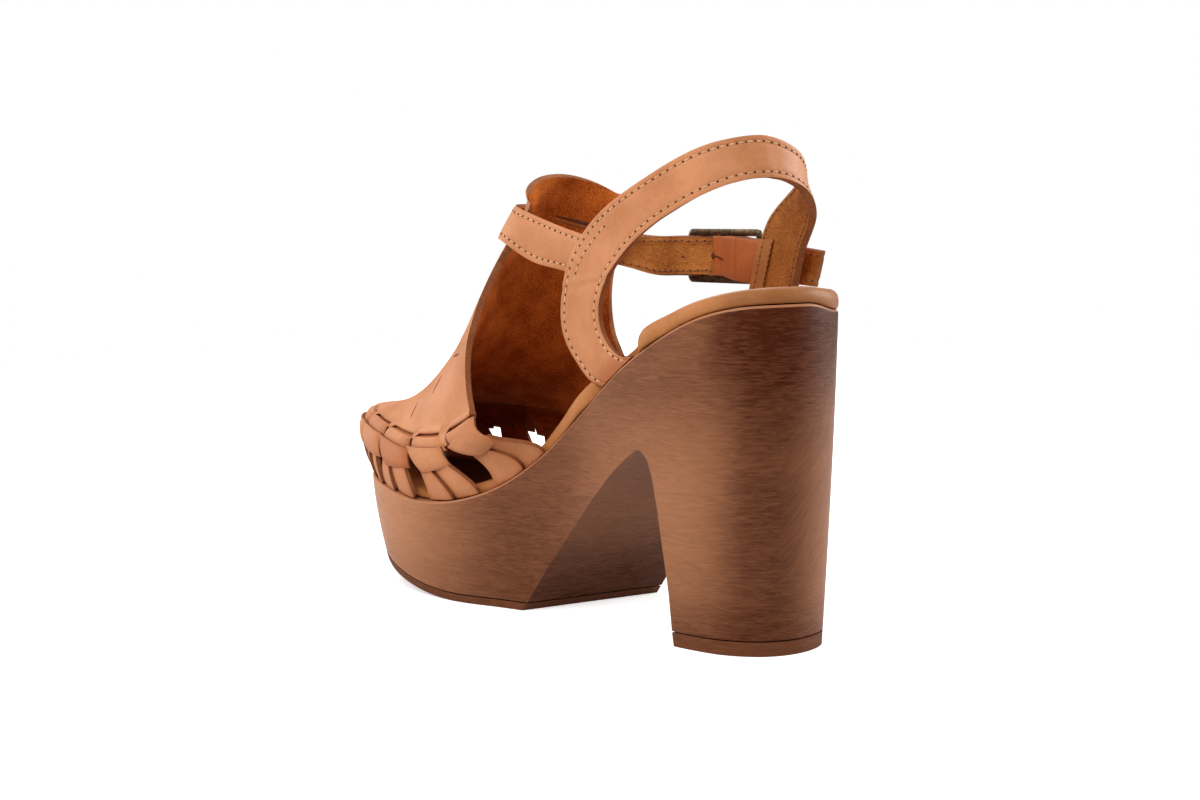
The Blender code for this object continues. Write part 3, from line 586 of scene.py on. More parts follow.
def wall_wear_and_light(x, y, z):
    """How pale the sole's walls are: worn stain and painted reflection, darker for painted shade; a pale line
    runs along the top edge.
    """
    # Painted light: paler heel sides and medial platform stand for reflections of the soft boxes, with some
    # worn stain; darker tones under the footbed and near the floor are painted shade.
    across = 0.15 + 0.48 * ramp(y, 19.0, 31.0) + 0.36 * ramp(y, 12.0, -14.0)
    height = ramp(z, 126.0, 51.0) * (1 - 0.6 * ramp(z, 24.0, 2.0))
    heel = across * np.maximum(height, 0.42 * ramp(y, 25.0, 30.0))
    toe = (0.18 + 0.48 * ramp(y, 0.0, 20.0)) * ramp(x, 120.0, 192.0)
    shank = 0.15 * dent(x - 74.0, 18.0)
    platform = (0.2 + toe + shank) * (0.78 + 0.27 * ramp(z, 0.0, 32.0))
    tone = heel + (platform - heel) * ramp(x, 45.0, 90.0)
    below_edge = sole_top(x) - heel_drop(x, y) - z
    # The pale line along the top edge: a worn edge with a painted highlight.
    return np.maximum(tone, RIM_LINE_TONE * (1 - ramp(below_edge, *RIM_LINE)))


def mark_corners(piece, key, values):
    """Keeps a number at every corner of a piece's faces."""
    layer = piece.data.attributes.new(key, "FLOAT", "CORNER")
    layer.data.foreach_set("value", np.ascontiguousarray(values, np.float32))


print("stain on the heel's back:", wall_wear_and_light(*np.array((0.0, 0.0, 60.0))).round(2))

# %% [markdown]
# Now the block is lofted and the arch taken away. The faces that the cut leaves lie well inside the outline,
# and they get a plain tone with painted shade, darker towards the floor.

# %% Wooden sole
SAWN_INSIDE, SAWN_MIDDLE, SAWN_REACH = 12.0, 90.0, 55.0
turns = np.linspace(0.0, pi, 201)
heel_part = outline(turns)[:, 0] < MID_ARCH
sole = loft("wooden_sole", sole_rings(turns, np.where(heel_part, LIFT_HEIGHT, OUTSOLE_HEIGHT) + GAP))
arch = arch_tool()
cut(sole, arch)
corners = [(sole.data.vertices[v].co, face.center) for face in sole.data.polygons for v in face.vertices]
places, centres = (np.moveaxis((np.array(part) - SHIFT) / MM, -1, 0) for part in zip(*corners))
x, y, z = places
sawn = (inside_edge(*centres[:2]) > SAWN_INSIDE) & (abs(centres[0] - SAWN_MIDDLE) < SAWN_REACH)
# Painted shade on the sawn faces: darker towards the floor.
sawn_shade = 0.1 + 0.45 * ramp(z, 8.0, 53.0)
mark_corners(sole, "wear_and_painted_light", np.where(sawn, sawn_shade, wall_wear_and_light(x, y, z)))
on_heel_back = ramp(y, 14.0, 4.0) * ramp(z, 90.0, 70.0) * ramp(z, 18.0, 30.0) * (x < 36.0)
mark_corners(sole, "slanted", 0.7 * on_heel_back)
dress(sole, wood)
keep(sole, "stained_wood", "sole_unit")

# %% [markdown]
# Two slabs of rubber close the underside: the walking sole under the platform and the lift under the heel.
# They are lofted like the block and cut by the same arch, so their edges run flush with the wood.

# %% Walking sole and heel lift
SLAB_LEVELS = np.array((0.0, 0.1, 0.5, 0.9, 1.0))
middle = float(station(MID_ARCH))
for name, node, first, last, thick in (
    ("heel_tip", "heel_lift", 0.0, middle, LIFT_HEIGHT),
    ("walking_sole", "outsole", middle, pi, OUTSOLE_HEIGHT),
):
    turns = np.linspace(first, last, 121)
    x = outline(turns)[:, 0]
    heights = SLAB_LEVELS[None] * (thick / (sole_top(x) - toe_spring(x)))[:, None]
    medial, lateral = (side_point(side[:, None], heights) for side in (turns, 2 * pi - turns))
    over = between(medial[:, -1], lateral[:, -1], 3)
    under = between(lateral[:, 0], medial[:, 0], 3)
    slab = loft(name, np.concatenate([medial, over, lateral[:, ::-1], under], 1))
    cut(slab, arch)
    dress(slab, rubber)
    keep(slab, "brown_rubber", node)
bpy.data.objects.remove(arch)

# %% [markdown]
# The footbed is foam under a skin of golden leather: thick and rounded at the heel, thin under the toes. We
# take it to be glued down all over, with one rounded profile along its edge. A loft of that profile is truer
# to it than cloth that is blown up, which would swell in the middle.

# %% Padded insole
# Distance from the heel's back, medial inset, lateral inset, thickness
INSOLE = np.array((
    (0.0, 0.3, 0.3, 5.6), (22.0, 0.3, 0.3, 6.0), (35.0, 0.5, 4.2, 6.8), (52.0, 0.7, 4.2, 7.6),
    (55.4, 4.2, 4.2, 7.9), (72.6, 4.2, 4.2, 8.2), (77.0, 0.9, 4.2, 8.2), (98.0, 0.9, 4.2, 7.4),
    (108.0, 3.0, 4.1, 6.3), (124.0, 4.0, 4.0, 5.3), (142.0, 4.0, 4.0, 4.9), (165.0, 4.0, 4.0, 3.4),
    (LENGTH, 4.0, 4.0, 3.0),
)).T
# Profile of the edge: inset and share of the thickness
INSOLE_EDGE = np.array((
    (0.8, 0.0), (0.35, 0.06), (0.1, 0.16), (0.0, 0.32), (0.1, 0.5), (0.45, 0.68), (1.2, 0.84),
    (2.4, 0.95), (4.4, 1.0),
)).T
DISH, TOP_DROP = 0.8, 0.4
insole_thickness = curve_through(INSOLE[0], INSOLE[3])

turns = np.linspace(0.0, pi, 161)
sides = []
for side, column in ((turns, 1), (2 * pi - turns, 2)):
    x = outline(side)[:, 0]
    inset = curve_through(INSOLE[0], INSOLE[column])(x)[:, None] + INSOLE_EDGE[0][None]
    place = rim(side[:, None], inset)
    drop = heel_drop(place[..., 0], place[..., 1]) * (1 - (1 - TOP_DROP) * INSOLE_EDGE[1][None])
    z = sole_top(place[..., 0]) - drop + GAP + INSOLE_EDGE[1][None] * insole_thickness(x)[:, None]
    sides.append(np.concatenate([place, z[..., None]], -1))
medial, lateral = sides
over = between(medial[:, -1], lateral[:, -1], 15)
over[..., 2] = sole_top(over[..., 0]) + GAP + insole_thickness(over[..., 0])
over[..., 2] -= TOP_DROP * heel_drop(over[..., 0], over[..., 1])
over[..., 2] -= DISH * np.sin(np.linspace(0, pi, 17)[1:-1])[None] ** 0.7
under = between(lateral[:, 0], medial[:, 0], 5)
under[..., 2] = sole_top(under[..., 0]) - heel_drop(under[..., 0], under[..., 1]) + GAP
rings = np.concatenate([medial, over, lateral[:, ::-1], under], 1)
# Painted shade: the footbed darkens inside the toe, under the vamp, and a little along the heel's back.
toe_shade = ramp(rings[..., 0], 136.0, 150.0) * ramp(inside_edge(rings[..., 0], rings[..., 1]), 17.0, 25.0)
heel_back_shade = 0.24 * (1 - ramp(rings[..., 0], 6.0, 22.0))
insole = loft("padded_insole", rings, {"wear_and_painted_light": toe_shade + heel_back_shade})
dress(insole, padding)
keep(insole, "golden_leather", "insole")

# %% [markdown]
# The vamp is a skin pulled over the last, so its pattern is the last's own sections: each is an arch that
# starts at the throat's medial edge, passes over the ridge and comes down on the lateral side. It could be
# sculpted, but sections keep every later piece, strap and strip, on one exact surface.

# %% Pattern of the vamp
# Throat's distance and height, medial and lateral half widths, ridge's distance and height, roundnesses
VAMP = np.array((
    (131.0, 73.0, 42.0, 45.0, 230.5, 68.5, 2.8, 2.8), (136.0, 84.5, 41.0, 40.5, 203.5, 76.0, 2.6, 2.0),
    (138.6, 95.5, 39.5, 35.5, 185.0, 86.0, 2.3, 1.5), (138.7, 105.0, 37.5, 31.5, 171.5, 97.0, 2.1, 1.25),
    (136.2, 118.0, 34.0, 28.5, 158.0, 116.0, 2.0, 1.1), (130.0, 132.5, 30.0, 26.0, 147.5, 135.0, 2.0, 1.05),
    (119.5, 151.0, 24.0, 23.0, 137.0, 155.0, 2.0, 1.15), (122.5, 158.0, 22.0, 21.0, 131.0, 165.0, 2.0, 1.4),
)).T
VAMP_TOP = VAMP.shape[1] - 1.0
DIP_ROWS, WALL = 3.0, 2.2
vamp_sizes = [curve_through(np.arange(VAMP.shape[1]), column) for column in VAMP]


def woven_dip(row, x):
    """How far the woven edge drops between its ends, to keep its height above the sole's rim."""
    first, last = VAMP[0][0], VAMP[4][0]
    share = np.clip((x - first) / (last - first), 0.0, 1.0)
    level = sole_top(first) + (sole_top(last) - sole_top(first)) * share
    fade = np.maximum(0.0, 1.0 - row / DIP_ROWS)
    return (level - sole_top(np.clip(x, first, last))) * fade * fade


def vamp_point(row, turn):
    """A point of the last: its section, and the angle over it from the medial side."""
    edge_x, edge_z, medial, lateral, ridge_x, ridge_z, crown, reach = (size(row) for size in vamp_sizes)
    across = np.abs(np.cos(turn)) ** (2.0 / crown)
    forward = np.abs(np.sin(turn)) ** (2.0 / reach)
    half = np.where(np.cos(turn) >= 0, medial, -lateral)
    x = edge_x + (ridge_x - edge_x) * forward
    z = edge_z + (ridge_z - edge_z) * forward
    return np.stack([x, half * across, z - woven_dip(row, x)], -1)


def vamp_normal(row, turn):
    """The direction out of the vamp."""
    small = 0.02
    turn = np.clip(turn, 2 * small, pi - 2 * small)
    up = vamp_point(np.minimum(row + small, VAMP_TOP), turn) - vamp_point(np.maximum(row - small, 0.0), turn)
    over = vamp_point(row, turn + small) - vamp_point(row, turn - small)
    return unit(np.cross(up, over))


def vamp_outer(row, turn, lift):
    """A point lifted off the last."""
    return vamp_point(row, turn) + vamp_normal(row, turn) * np.asarray(lift)[..., None]


def lengths_along(points):
    """How far along a line each of its points is."""
    return np.concatenate([[0.0], np.cumsum(np.linalg.norm(np.diff(points, axis=0), axis=1))])


def edge_curve(points):
    """A smooth line through points in space, read from 0 to 1."""
    points = np.array(points)
    lengths = lengths_along(points)
    axes = [curve_through(lengths, points[:, axis]) for axis in range(3)]
    return lambda share: np.stack([axis(np.asarray(share) * lengths[-1]) for axis in axes], -1)


print("ridge:", vamp_point(np.array(3.0), np.array(pi / 2)).round(1).tolist())

# %% [markdown]
# Woven strips lace the vamp to the rim, so skin and weave share one surface. A place on it is a length
# along the laced edge, medial positive, and a height: 0 on the sole's rim and 1 at the vamp's edge. A curve
# with two handles joins rim and edge at every length, which gives all strips the same soft bulge.

# %% Surface of the weave
# Length along the vamp's edge, length along the sole's rim
LACE = np.array((
    (-130.0, -158.0), (-113.5, -141.5), (-90.5, -106.5), (-68.5, -76.5), (-45.5, -50.0), (-22.5, -25.0),
    (0.0, 0.0), (22.5, 25.0), (45.5, 50.0), (68.5, 76.5), (90.5, 106.5), (113.5, 141.5), (130.0, 158.0),
)).T
RIM_INSET, BULGE_LOW, BULGE_HIGH, HANDLE, CLIMB = 2.8, 4.5, 1.5, 10.0, 2.2
LACE_END, HIGHEST, BEHIND = 122.6, 1.3, np.array((-1.0, 0.0, 0.3))
rim_of = curve_through(*LACE)


def read_by_length(parameters, points, centre):
    """The parameter at a length along a line, counted from the line's middle parameter."""
    lengths = lengths_along(points)
    zero = curve_through(parameters, lengths)(centre)
    read = curve_through(lengths, parameters)
    return lambda length: read(length + zero)


lace_turns = np.linspace(0.0, pi, 201)
lace_turn_at = read_by_length(lace_turns, vamp_point(0.0 * lace_turns, lace_turns), pi / 2)
rim_turns = np.linspace(0.4 * pi, 1.6 * pi, 201)
rim_turn_at = read_by_length(rim_turns, rim(rim_turns, np.full(201, RIM_INSET)), pi)


def laced_point(lace, height):
    """A point of the surface from the sole's rim up to the vamp's skin."""
    over = lace_turn_at(-lace)
    turn = rim_turn_at(-rim_of(lace))
    foot = rim(turn, np.full(turn.shape, RIM_INSET))
    base = np.concatenate([foot, (sole_top(foot[..., 0]) + GAP)[..., None]], -1)
    out = unit(outline(turn) - foot)
    out = np.concatenate([out, 0.0 * out[..., :1]], -1)
    zero, wall = np.zeros(over.shape), np.full(over.shape, WALL)
    beyond = np.maximum(np.abs(lace) - LACE_END, 0.0)[..., None] * BEHIND
    down = unit(vamp_outer(zero, over, wall) - vamp_outer(zero + 0.3, over, wall))
    top = vamp_outer(zero, over, wall) + beyond
    low_handle = base + np.array((0.0, 0.0, HANDLE)) + out * BULGE_LOW
    high_handle = top + down * HANDLE + out * BULGE_HIGH
    h = np.clip(height, 0.0, 1.0)[..., None]
    below = (base * (1 - h) ** 3 + low_handle * 3 * (1 - h) ** 2 * h
             + high_handle * 3 * (1 - h) * h * h + top * h ** 3)
    above = vamp_outer(np.maximum(height - 1.0, 0.0) * CLIMB, over, wall) + beyond
    return np.where((height > 1.0)[..., None], above, below)


def laced_surface(lace, height):
    """Places on the surface and the directions out of it."""
    small = 0.04
    above, below = np.minimum(height + small, HIGHEST), np.maximum(height - small, 0.0)
    up = laced_point(lace, above) - laced_point(lace, below)
    over = laced_point(lace + 1.0, height) - laced_point(lace - 1.0, height)
    return laced_point(lace, height), -unit(np.cross(up, over))


print("middle of the toe's weave:", laced_point(np.zeros(1), np.full(1, 0.5))[0].round(1).tolist())

# %% [markdown]
# Each unit of the weave is a pillow-like block tucked into a slit of the vamp, a collar round it and two
# legs that fan out to the rim. The three medial units nearest to the heel lean, so their corners are
# measured; the others follow one pattern, and the rear one is mirrored on the lateral side.

# %% Pattern of the weave
COVER, LEG_HALF, BLOCK_LOW, COLLAR_HIGH = 9.5, 6.4, 0.68, 0.74


def plain_unit(centre, lean, cover=COVER, leg=LEG_HALF, low=0.39, tuck=1.8):
    """Corners of a unit: block and collar as low left, low right, high left, high right; then legs."""
    c, r, foot = centre, centre + lean, cover * leg / LEG_HALF
    left, right = c - cover, c + cover
    return (((left, BLOCK_LOW), (right, BLOCK_LOW), (left + 0.1, 1.0), (right - 0.1, 1.0)),
            ((left + tuck, low), (right - tuck, low), (left - 0.5, COLLAR_HIGH), (right + 0.5, COLLAR_HIGH)),
            ((c - leg, c - 0.4, c + leg), (r - foot, r, r + foot)))


def mirrored(measured):
    """The same unit on the other side."""
    block, collar, legs = measured
    flipped = [tuple((-corners[n][0], corners[n][1]) for n in (1, 0, 3, 2)) for corners in (block, collar)]
    return (*flipped, tuple(tuple(-lace for lace in reversed(row)) for row in legs))


# Measured units: block, collar, then the tops and the feet of the legs
WEAVE = (
    (((106.5, 0.74), (121.5, 0.89), (105.0, 1.03), (122.3, 1.09)),
     ((109.0, 0.44), (122.0, 0.56), (105.3, 0.75), (126.5, 1.04)),
     ((108.0, 115.3, 122.8), (101.8, 112.4, 122.0))),
    (((82.5, 0.70), (102.0, 0.70), (84.0, 1.01), (101.2, 1.02)),
     ((83.2, 0.37), (97.4, 0.46), (81.6, 0.77), (102.6, 0.79)),
     ((83.3, 88.6, 97.0), (80.0, 90.0, 98.0))),
    (((62.5, 0.66), (80.5, 0.66), (65.5, 1.0), (83.0, 1.0)),
     ((63.3, 0.33), (78.4, 0.41), (62.3, 0.73), (82.6, 0.72)),
     ((62.6, 67.6, 77.0), (53.5, 64.3, 74.5))),
    plain_unit(53.0, -8.0), plain_unit(33.0, -8.0), plain_unit(14.5, -5.0), plain_unit(-4.0, 0.0),
    plain_unit(-23.6, 0.0, 10.9, 7.2, 0.41, 0.2), plain_unit(-42.9, 0.0, 9.2, 5.2, 0.44, 0.2),
    plain_unit(-63.4, 0.0, 11.5, 6.2, 0.41, 0.2), plain_unit(-86.65, 0.0, 11.9, 6.4, 0.37, 0.4),
)
WEAVE += (mirrored(WEAVE[0]),)
TABS = [(a[0][2][0] + b[0][3][0]) / 2 for a, b in zip(WEAVE, WEAVE[1:])]
print(len(WEAVE), "woven units,", len(TABS), "tabs between them")

# %% [markdown]
# Leather drawn over a last shows its raw cut edge at the throat, suede inside and smooth grain outside.
# The skin's lower edge is scalloped: it lies over the blocks and sends a small tab down between them. A
# sheet shrunk on to a block would blur those scallops, so a grid is laid on the pattern row by row.

# %% Grid of the vamp
EDGE_ROWS, SKIN_ROWS, SKIN_COLUMNS = 12, 84, 380
SCALLOP, OVERLAP, PUFF, TAB_FLAT = 0.26, 0.12, 0.65, 0.3
CLEAR_TAB, FAINT_TAB, FAINT_SHARE = 2.3, 1.5, 0.4
slits = np.array(sorted((unit_row[0][n][0], unit_row[0][n][1]) for unit_row in WEAVE for n in (2, 3))).T


def tab_share(lace):
    """1 on a tab between two blocks, 0 elsewhere."""
    clear = [np.exp(-((lace - tab) / CLEAR_TAB) ** 4) for tab in (TABS[0], TABS[-1])]
    faint = [FAINT_SHARE * np.exp(-((lace - tab) / FAINT_TAB) ** 4) for tab in TABS[1:-1]]
    return np.max(clear + faint, axis=0)


laces = np.linspace(-LACE_END, LACE_END, SKIN_COLUMNS)
tabbed = tab_share(laces)
edge = np.interp(laces, *slits) - SCALLOP * tabbed
share = np.linspace(0.0, 1.0, EDGE_ROWS)[:, None]
heights = edge + (np.maximum(edge, 1.0) + OVERLAP - edge) * share
lace_grid = np.broadcast_to(laces, heights.shape)
place, out = laced_surface(lace_grid, heights)
puff = (PUFF - TAB_FLAT * tabbed) * smooth_step(share * 3.0 + 0.35) * (1 - smooth_step(share * 1.1 - 0.1))
low_skin = place + out * puff[..., None]
first = (heights[-1] - 1.0) * CLIMB
rows = first + (VAMP_TOP - first) * np.linspace(0.0, 1.0, SKIN_ROWS)[1:, None]
over = np.broadcast_to(lace_turn_at(-laces), rows.shape)
skin = np.concatenate([low_skin, vamp_outer(rows, over, np.full(rows.shape, WALL))])
print("grid of the skin:", skin.shape[:2])

# %% [markdown]
# The grid becomes the skin. Above a drawn border the toe is tooled, which a mark tells the leather's shader.
# A shoemaker skives leather thin where it turns sharply; a vertex group makes Solidify do so at the tongue's
# upper corners.

# %% Vamp
SKIN, CUT_EDGE, TOOLED_FADE = 2.6, 0.4, 1.5
SKIVED_ROWS, SKIVED_LACES, SKIVED_AWAY = (0.80, 0.94), (104.0, 116.0), 0.75
# Border of the tooled ground in side view: distance and height
TOOLED_EDGE = np.array((
    (140.0, 101.0), (148.0, 97.0), (153.3, 95.8), (157.0, 91.0), (161.0, 85.0), (164.4, 82.8), (170.5, 81.6),
    (175.5, 77.0), (176.5, 70.0), (178.0, 55.0), (240.0, 55.0),
)).T
tooled = smooth_step((skin[..., 2] - np.interp(skin[..., 0], *TOOLED_EDGE)) / TOOLED_FADE)
vamp = sheet("vamp_skin", skin, (0.4, 0.0, 1.0), {"tooled": tooled * (skin[..., 0] > TOOLED_EDGE[0][0])})
dress(vamp, tan, suede, raw_edge)
skived = vamp.vertex_groups.new(name="skived")
share = np.linspace(0.0, 1.0, len(skin))[:, None]
corner = ramp(share, *SKIVED_ROWS) * ramp(abs(laces), *SKIVED_LACES)
for number, left in enumerate((1.0 - SKIVED_AWAY * corner).ravel()):
    skived.add([number], left, "REPLACE")
thicken(vamp, SKIN, CUT_EDGE, vertex_group="skived")
keep(vamp, "tan_leather", "woven_vamp")

# %% [markdown]
# A tooled ground covers the toe's ridge. A few carved strokes mark its border: thin tapered cords of shadow,
# drawn from the side and dropped on the skin. Carving them into the skin would need a far finer grid.

# %% Carved strokes
STROKE_RADIUS, STROKE_FLAT, STROKE_SUNK = 0.42, 0.6, 0.1
STROKES = (
    ((176.6, 70.0), (176.2, 72.6), (175.8, 74.2), (175.9, 76.6)),
    ((163.6, 80.4), (162.6, 82.2), (160.6, 85.6), (158.6, 88.8)),
    ((151.4, 96.0), (148.1, 96.6), (144.8, 97.6)),
)


def cord(name, path, radius, flat, out):
    """A tapered cord along a path, flattened on the surface that it lies on."""
    share = np.linspace(0.0, 1.0, len(path))
    ahead = unit(np.gradient(path, axis=0))
    side = unit(np.cross(out, ahead))
    angle = np.linspace(0.0, 2 * pi, 8, endpoint=False)
    swell = (radius * np.sin(pi * (0.06 + 0.88 * share)) ** 0.6)[:, None, None]
    ring = np.cos(angle)[None, :, None] * side[:, None] + flat * np.sin(angle)[None, :, None] * out[:, None]
    return loft(name, path[:, None] + ring * swell)


def dropped(piece, flat_path):
    """A path drawn in side view, dropped on a piece from the medial side."""
    places, outs = [], []
    for x, z in flat_path:
        start = np.array((x, 80.0, z)) * MM + SHIFT
        _, place, out, _ = piece.ray_cast(start.tolist(), (0.0, -1.0, 0.0))
        places.append((np.array(place) - SHIFT) / MM)
        outs.append(np.array(out))
    return np.array(places), np.array(outs)


strokes = []
for number, stroke in enumerate(STROKES):
    flat_path = edge_curve([(x, z, 0.0) for x, z in stroke])(np.linspace(0.0, 1.0, 24))[:, :2]
    path, out = dropped(vamp, flat_path)
    strokes.append(cord(f"stroke_{number}", path - out * STROKE_SUNK, STROKE_RADIUS, STROKE_FLAT, out))
carving = join("carved_strokes", strokes)
dress(carving, painted_shadow)
keep(carving, "tan_leather")

# %% [markdown]
# A short slit crosses the tongue's suede side, with a pale lip below it. It is narrower than the cells of the
# skin's grid, so two flat cords on the suede stand for it, a dark one of painted shadow and a pale one.

# %% Slit of the tongue
SLIT = ((5.72, 1.70), (5.684, 1.878), (5.627, 2.205), (5.585, 2.545), (5.56, 2.75))
SLIT_LINES = (("slit", 0.0, 0.75, 0.3, hollow), ("slit_lip", 0.075, 0.5, 0.7, raw_edge))
slit_line = edge_curve([(row, turn, 0.0) for row, turn in SLIT])(np.linspace(0.0, 1.0, 24))
slit_rows, slit_turns = slit_line[:, 0], slit_line[:, 1]
marks_on_suede = []
for name, fall, radius, flat, finish in SLIT_LINES:
    inward = -vamp_normal(slit_rows - fall, slit_turns)
    on_suede = vamp_point(slit_rows - fall, slit_turns) + inward * (SKIN - WALL)
    cut_line = cord(name, on_suede, radius, flat, inward)
    dress(cut_line, finish)
    marks_on_suede.append(cut_line)
keep(join("tongue_slit", marks_on_suede), "tan_leather")

# %% [markdown]
# On the real shoe the strips are laced through the slits and pulled tight. Cloth could be simulated for
# twelve tight knots, but it would be slow and hard to steer. So every strip is a small sheet between four
# corners of the pattern, and a lift arches it.

# %% A strip
STRIP_EDGE, DARKEST = 0.3, 0.9


def strip(name, corners, lift, tone, thick, grid):
    """A strip of the weave between its corners; lift and painted shade are functions of height and width."""
    up, across = np.meshgrid(np.linspace(0, 1, grid[0]), np.linspace(0, 1, grid[1]), indexing="ij")
    low_left, low_right, high_left, high_right = np.array(corners)
    low = low_left + (low_right - low_left) * across[..., None]
    high = high_left + (high_right - high_left) * across[..., None]
    lace, height = np.moveaxis(low + (high - low) * up[..., None], -1, 0)
    place, out = laced_surface(lace, height)
    place = place + out * lift(up, 2 * across - 1)[..., None]
    place[..., 2] = np.maximum(place[..., 2], sole_top(place[..., 0]) + GAP)
    # Painted shade from the tone function, capped at DARKEST.
    wear_and_painted_light = np.clip(tone(up, 2 * across - 1), 0.0, DARKEST)
    piece = sheet(name, place, out[grid[0] // 2, grid[1] // 2], {"wear_and_painted_light": wear_and_painted_light})
    # The back is the darker suede: painted shade inside the shoe.
    dress(piece, tan, shaded_suede, raw_edge)
    thicken(piece, thick, STRIP_EDGE)
    return piece


print("cut edges of strips are rounded by", STRIP_EDGE, "mm")

# %% [markdown]
# Three lifts give three kinds of strip: a leg is nearly flat, a collar half round and a block a pillow with
# its upper end tucked under the skin. Each of them gets painted shade, darker where it dips under a
# neighbour.

# %% Lifts and painted shade of the strips
def leg_lift(up, across):
    """Height of a leg over the surface, by its length and its width."""
    return 1.5 + 0.7 * across - 0.25 * across ** 2 + 0.5 * np.sin(pi * up)


def collar_lift(up, across):
    """Height of a collar: half round, its ends bent in."""
    half_round = np.sqrt(np.clip(1 - 0.8 * (2 * up - 1) ** 2, 0.0, 1.0))
    return 1.9 + 1.3 * half_round - 1.1 * np.abs(across) ** 6 + 0.5 * dent(1 - up, 0.08)


def block_lift(up, across):
    """Height of a block: a pillow that dives under the skin."""
    tucked = ramp(up, 0.82, 0.57)
    return -1.4 + 2.8 * tucked * (1 - 0.45 * np.abs(across) ** 8)


def leg_shade(up, across):
    """Painted shade on a leg: darker under the collar, at the rim and along its sides."""
    return 0.55 * ramp(up, 0.5, 1.0) + 0.35 * (1 - ramp(up, 0.0, 0.25)) + 0.4 * ramp(np.abs(across), 0.6, 1.0)


def collar_shade(up, across):
    """Painted shade on a collar: darker along its lower edge and at its ends."""
    return 0.3 * (1 - ramp(up, 0.0, 0.35)) + 0.3 * across ** 4


def block_shade(up, across):
    """Painted shade on a block: darker under the skin and behind the collar."""
    return 0.6 * ramp(up, 0.57, 0.82) + 0.45 * (1 - ramp(up, 0.0, 0.4)) + 0.2 * across ** 4


def collar_in_deeper_shade(up, across):
    """The one collar painted in deeper shade than the others."""
    return 0.45 + collar_shade(up, across)


print("a block's middle stands", round(float(block_lift(0.5, 0.0)), 2), "mm over the surface")

# %% [markdown]
# With the pattern, the lifts and the painted shade at hand, the twelve units are woven in one loop: two legs,
# a block and a collar each.

# %% Woven strips
LEG_THICK, BLOCK_THICK, COLLAR_THICK = 1.9, 1.6, 1.5
SHADED_UNIT, BLOCK_TUCK, LEG_TUCK, SPLIT = 2, 0.07, 0.14, 0.2
weave = []
for number, (block, collar, legs) in enumerate(WEAVE):
    (top_left, top_split, top_right), (rim_left, rim_split, rim_right) = legs
    left_top, right_top = collar[0][1] + LEG_TUCK, collar[1][1] + LEG_TUCK
    left_leg = ((rim_left, 0.0), (rim_split - SPLIT, 0.0), (top_left, left_top), (top_split, left_top))
    right_leg = ((rim_split + SPLIT, 0.0), (rim_right, 0.0), (top_split + SPLIT / 2, right_top),
                 (top_right, right_top))
    tucked_block = (*block[:2], *((lace, height + BLOCK_TUCK) for lace, height in block[2:]))
    # One collar gets deeper painted shade than the others.
    tone = collar_in_deeper_shade if number == SHADED_UNIT else collar_shade
    weave += [
        strip(f"leg_{number}_a", left_leg, leg_lift, leg_shade, LEG_THICK, (20, 10)),
        strip(f"leg_{number}_b", right_leg, leg_lift, leg_shade, LEG_THICK, (20, 10)),
        strip(f"block_{number}", tucked_block, block_lift, block_shade, BLOCK_THICK, (24, 18)),
        strip(f"collar_{number}", collar, collar_lift, tone, COLLAR_THICK, (20, 20)),
    ]
weave = join("woven_edge", weave)
keep(weave, "tan_leather", angle=40)

# %% [markdown]
# The sling strap is one band round the ankle. Its plan is a rounded arch; the table gives both of its
# edges as distances round the ankle and heights. Two edges say more about a strap than a middle line and a
# width, because this one flares and twists towards its feet.

# %% Pattern of the sling strap
ANKLE_BACK, ANKLE_DEPTH = 10.0, 75.0
ANKLE_HALVES = ((35.5, 3.0), (32.0, 2.3))
LEAN, LEAN_FROM, LEAN_END, LEAN_REACH = 0.3, 150.0, 45.0, 30.0
BASE_LEVEL, BASE_BLEND, BASE_INSET, BASE_GAP = 95.0, 45.0, 0.5, 0.9
STRAP, INSTEP, INSTEP_CLEAR = 2.8, 2.4, 1.3
# Front edge's distance and height, rear edge's distance and height
SLING = np.array((
    (-82.5, 90.8, -64.7, 100.6), (-90.2, 97.2, -69.8, 102.5), (-94.8, 103.0, -74.0, 106.0),
    (-97.4, 109.0, -76.6, 110.4), (-98.0, 115.5, -77.5, 115.4), (-97.0, 123.5, -76.6, 121.0),
    (-94.0, 133.4, -73.5, 127.5), (-85.0, 144.2, -65.5, 136.4), (-56.2, 162.4, -40.5, 152.8),
    (-21.6, 175.2, -12.5, 162.4), (-3.0, 177.3, -1.0, 163.0), (11.0, 173.6, 9.0, 161.0),
    (37.0, 162.8, 30.5, 150.5), (61.5, 147.5, 44.0, 136.0), (69.0, 128.0, 49.0, 122.0),
))
SLING_BASES = ((-75.9, -59.3), (75.0, 52.0))


def ankle_half(width, fullness):
    """One side of the strap's plan, with the lengths along it."""
    angle = np.linspace(0.0, pi / 2, 41)
    front = ANKLE_BACK + ANKLE_DEPTH
    x = front - ANKLE_DEPTH * np.cos(angle) ** (2.0 / fullness)
    y = width * np.sin(angle) ** (2.0 / fullness)
    points = np.append(np.stack([x, y], -1), [[front + ANKLE_DEPTH, width]], 0)
    return lengths_along(points), points


ankle_halves = [ankle_half(*half) for half in ANKLE_HALVES]


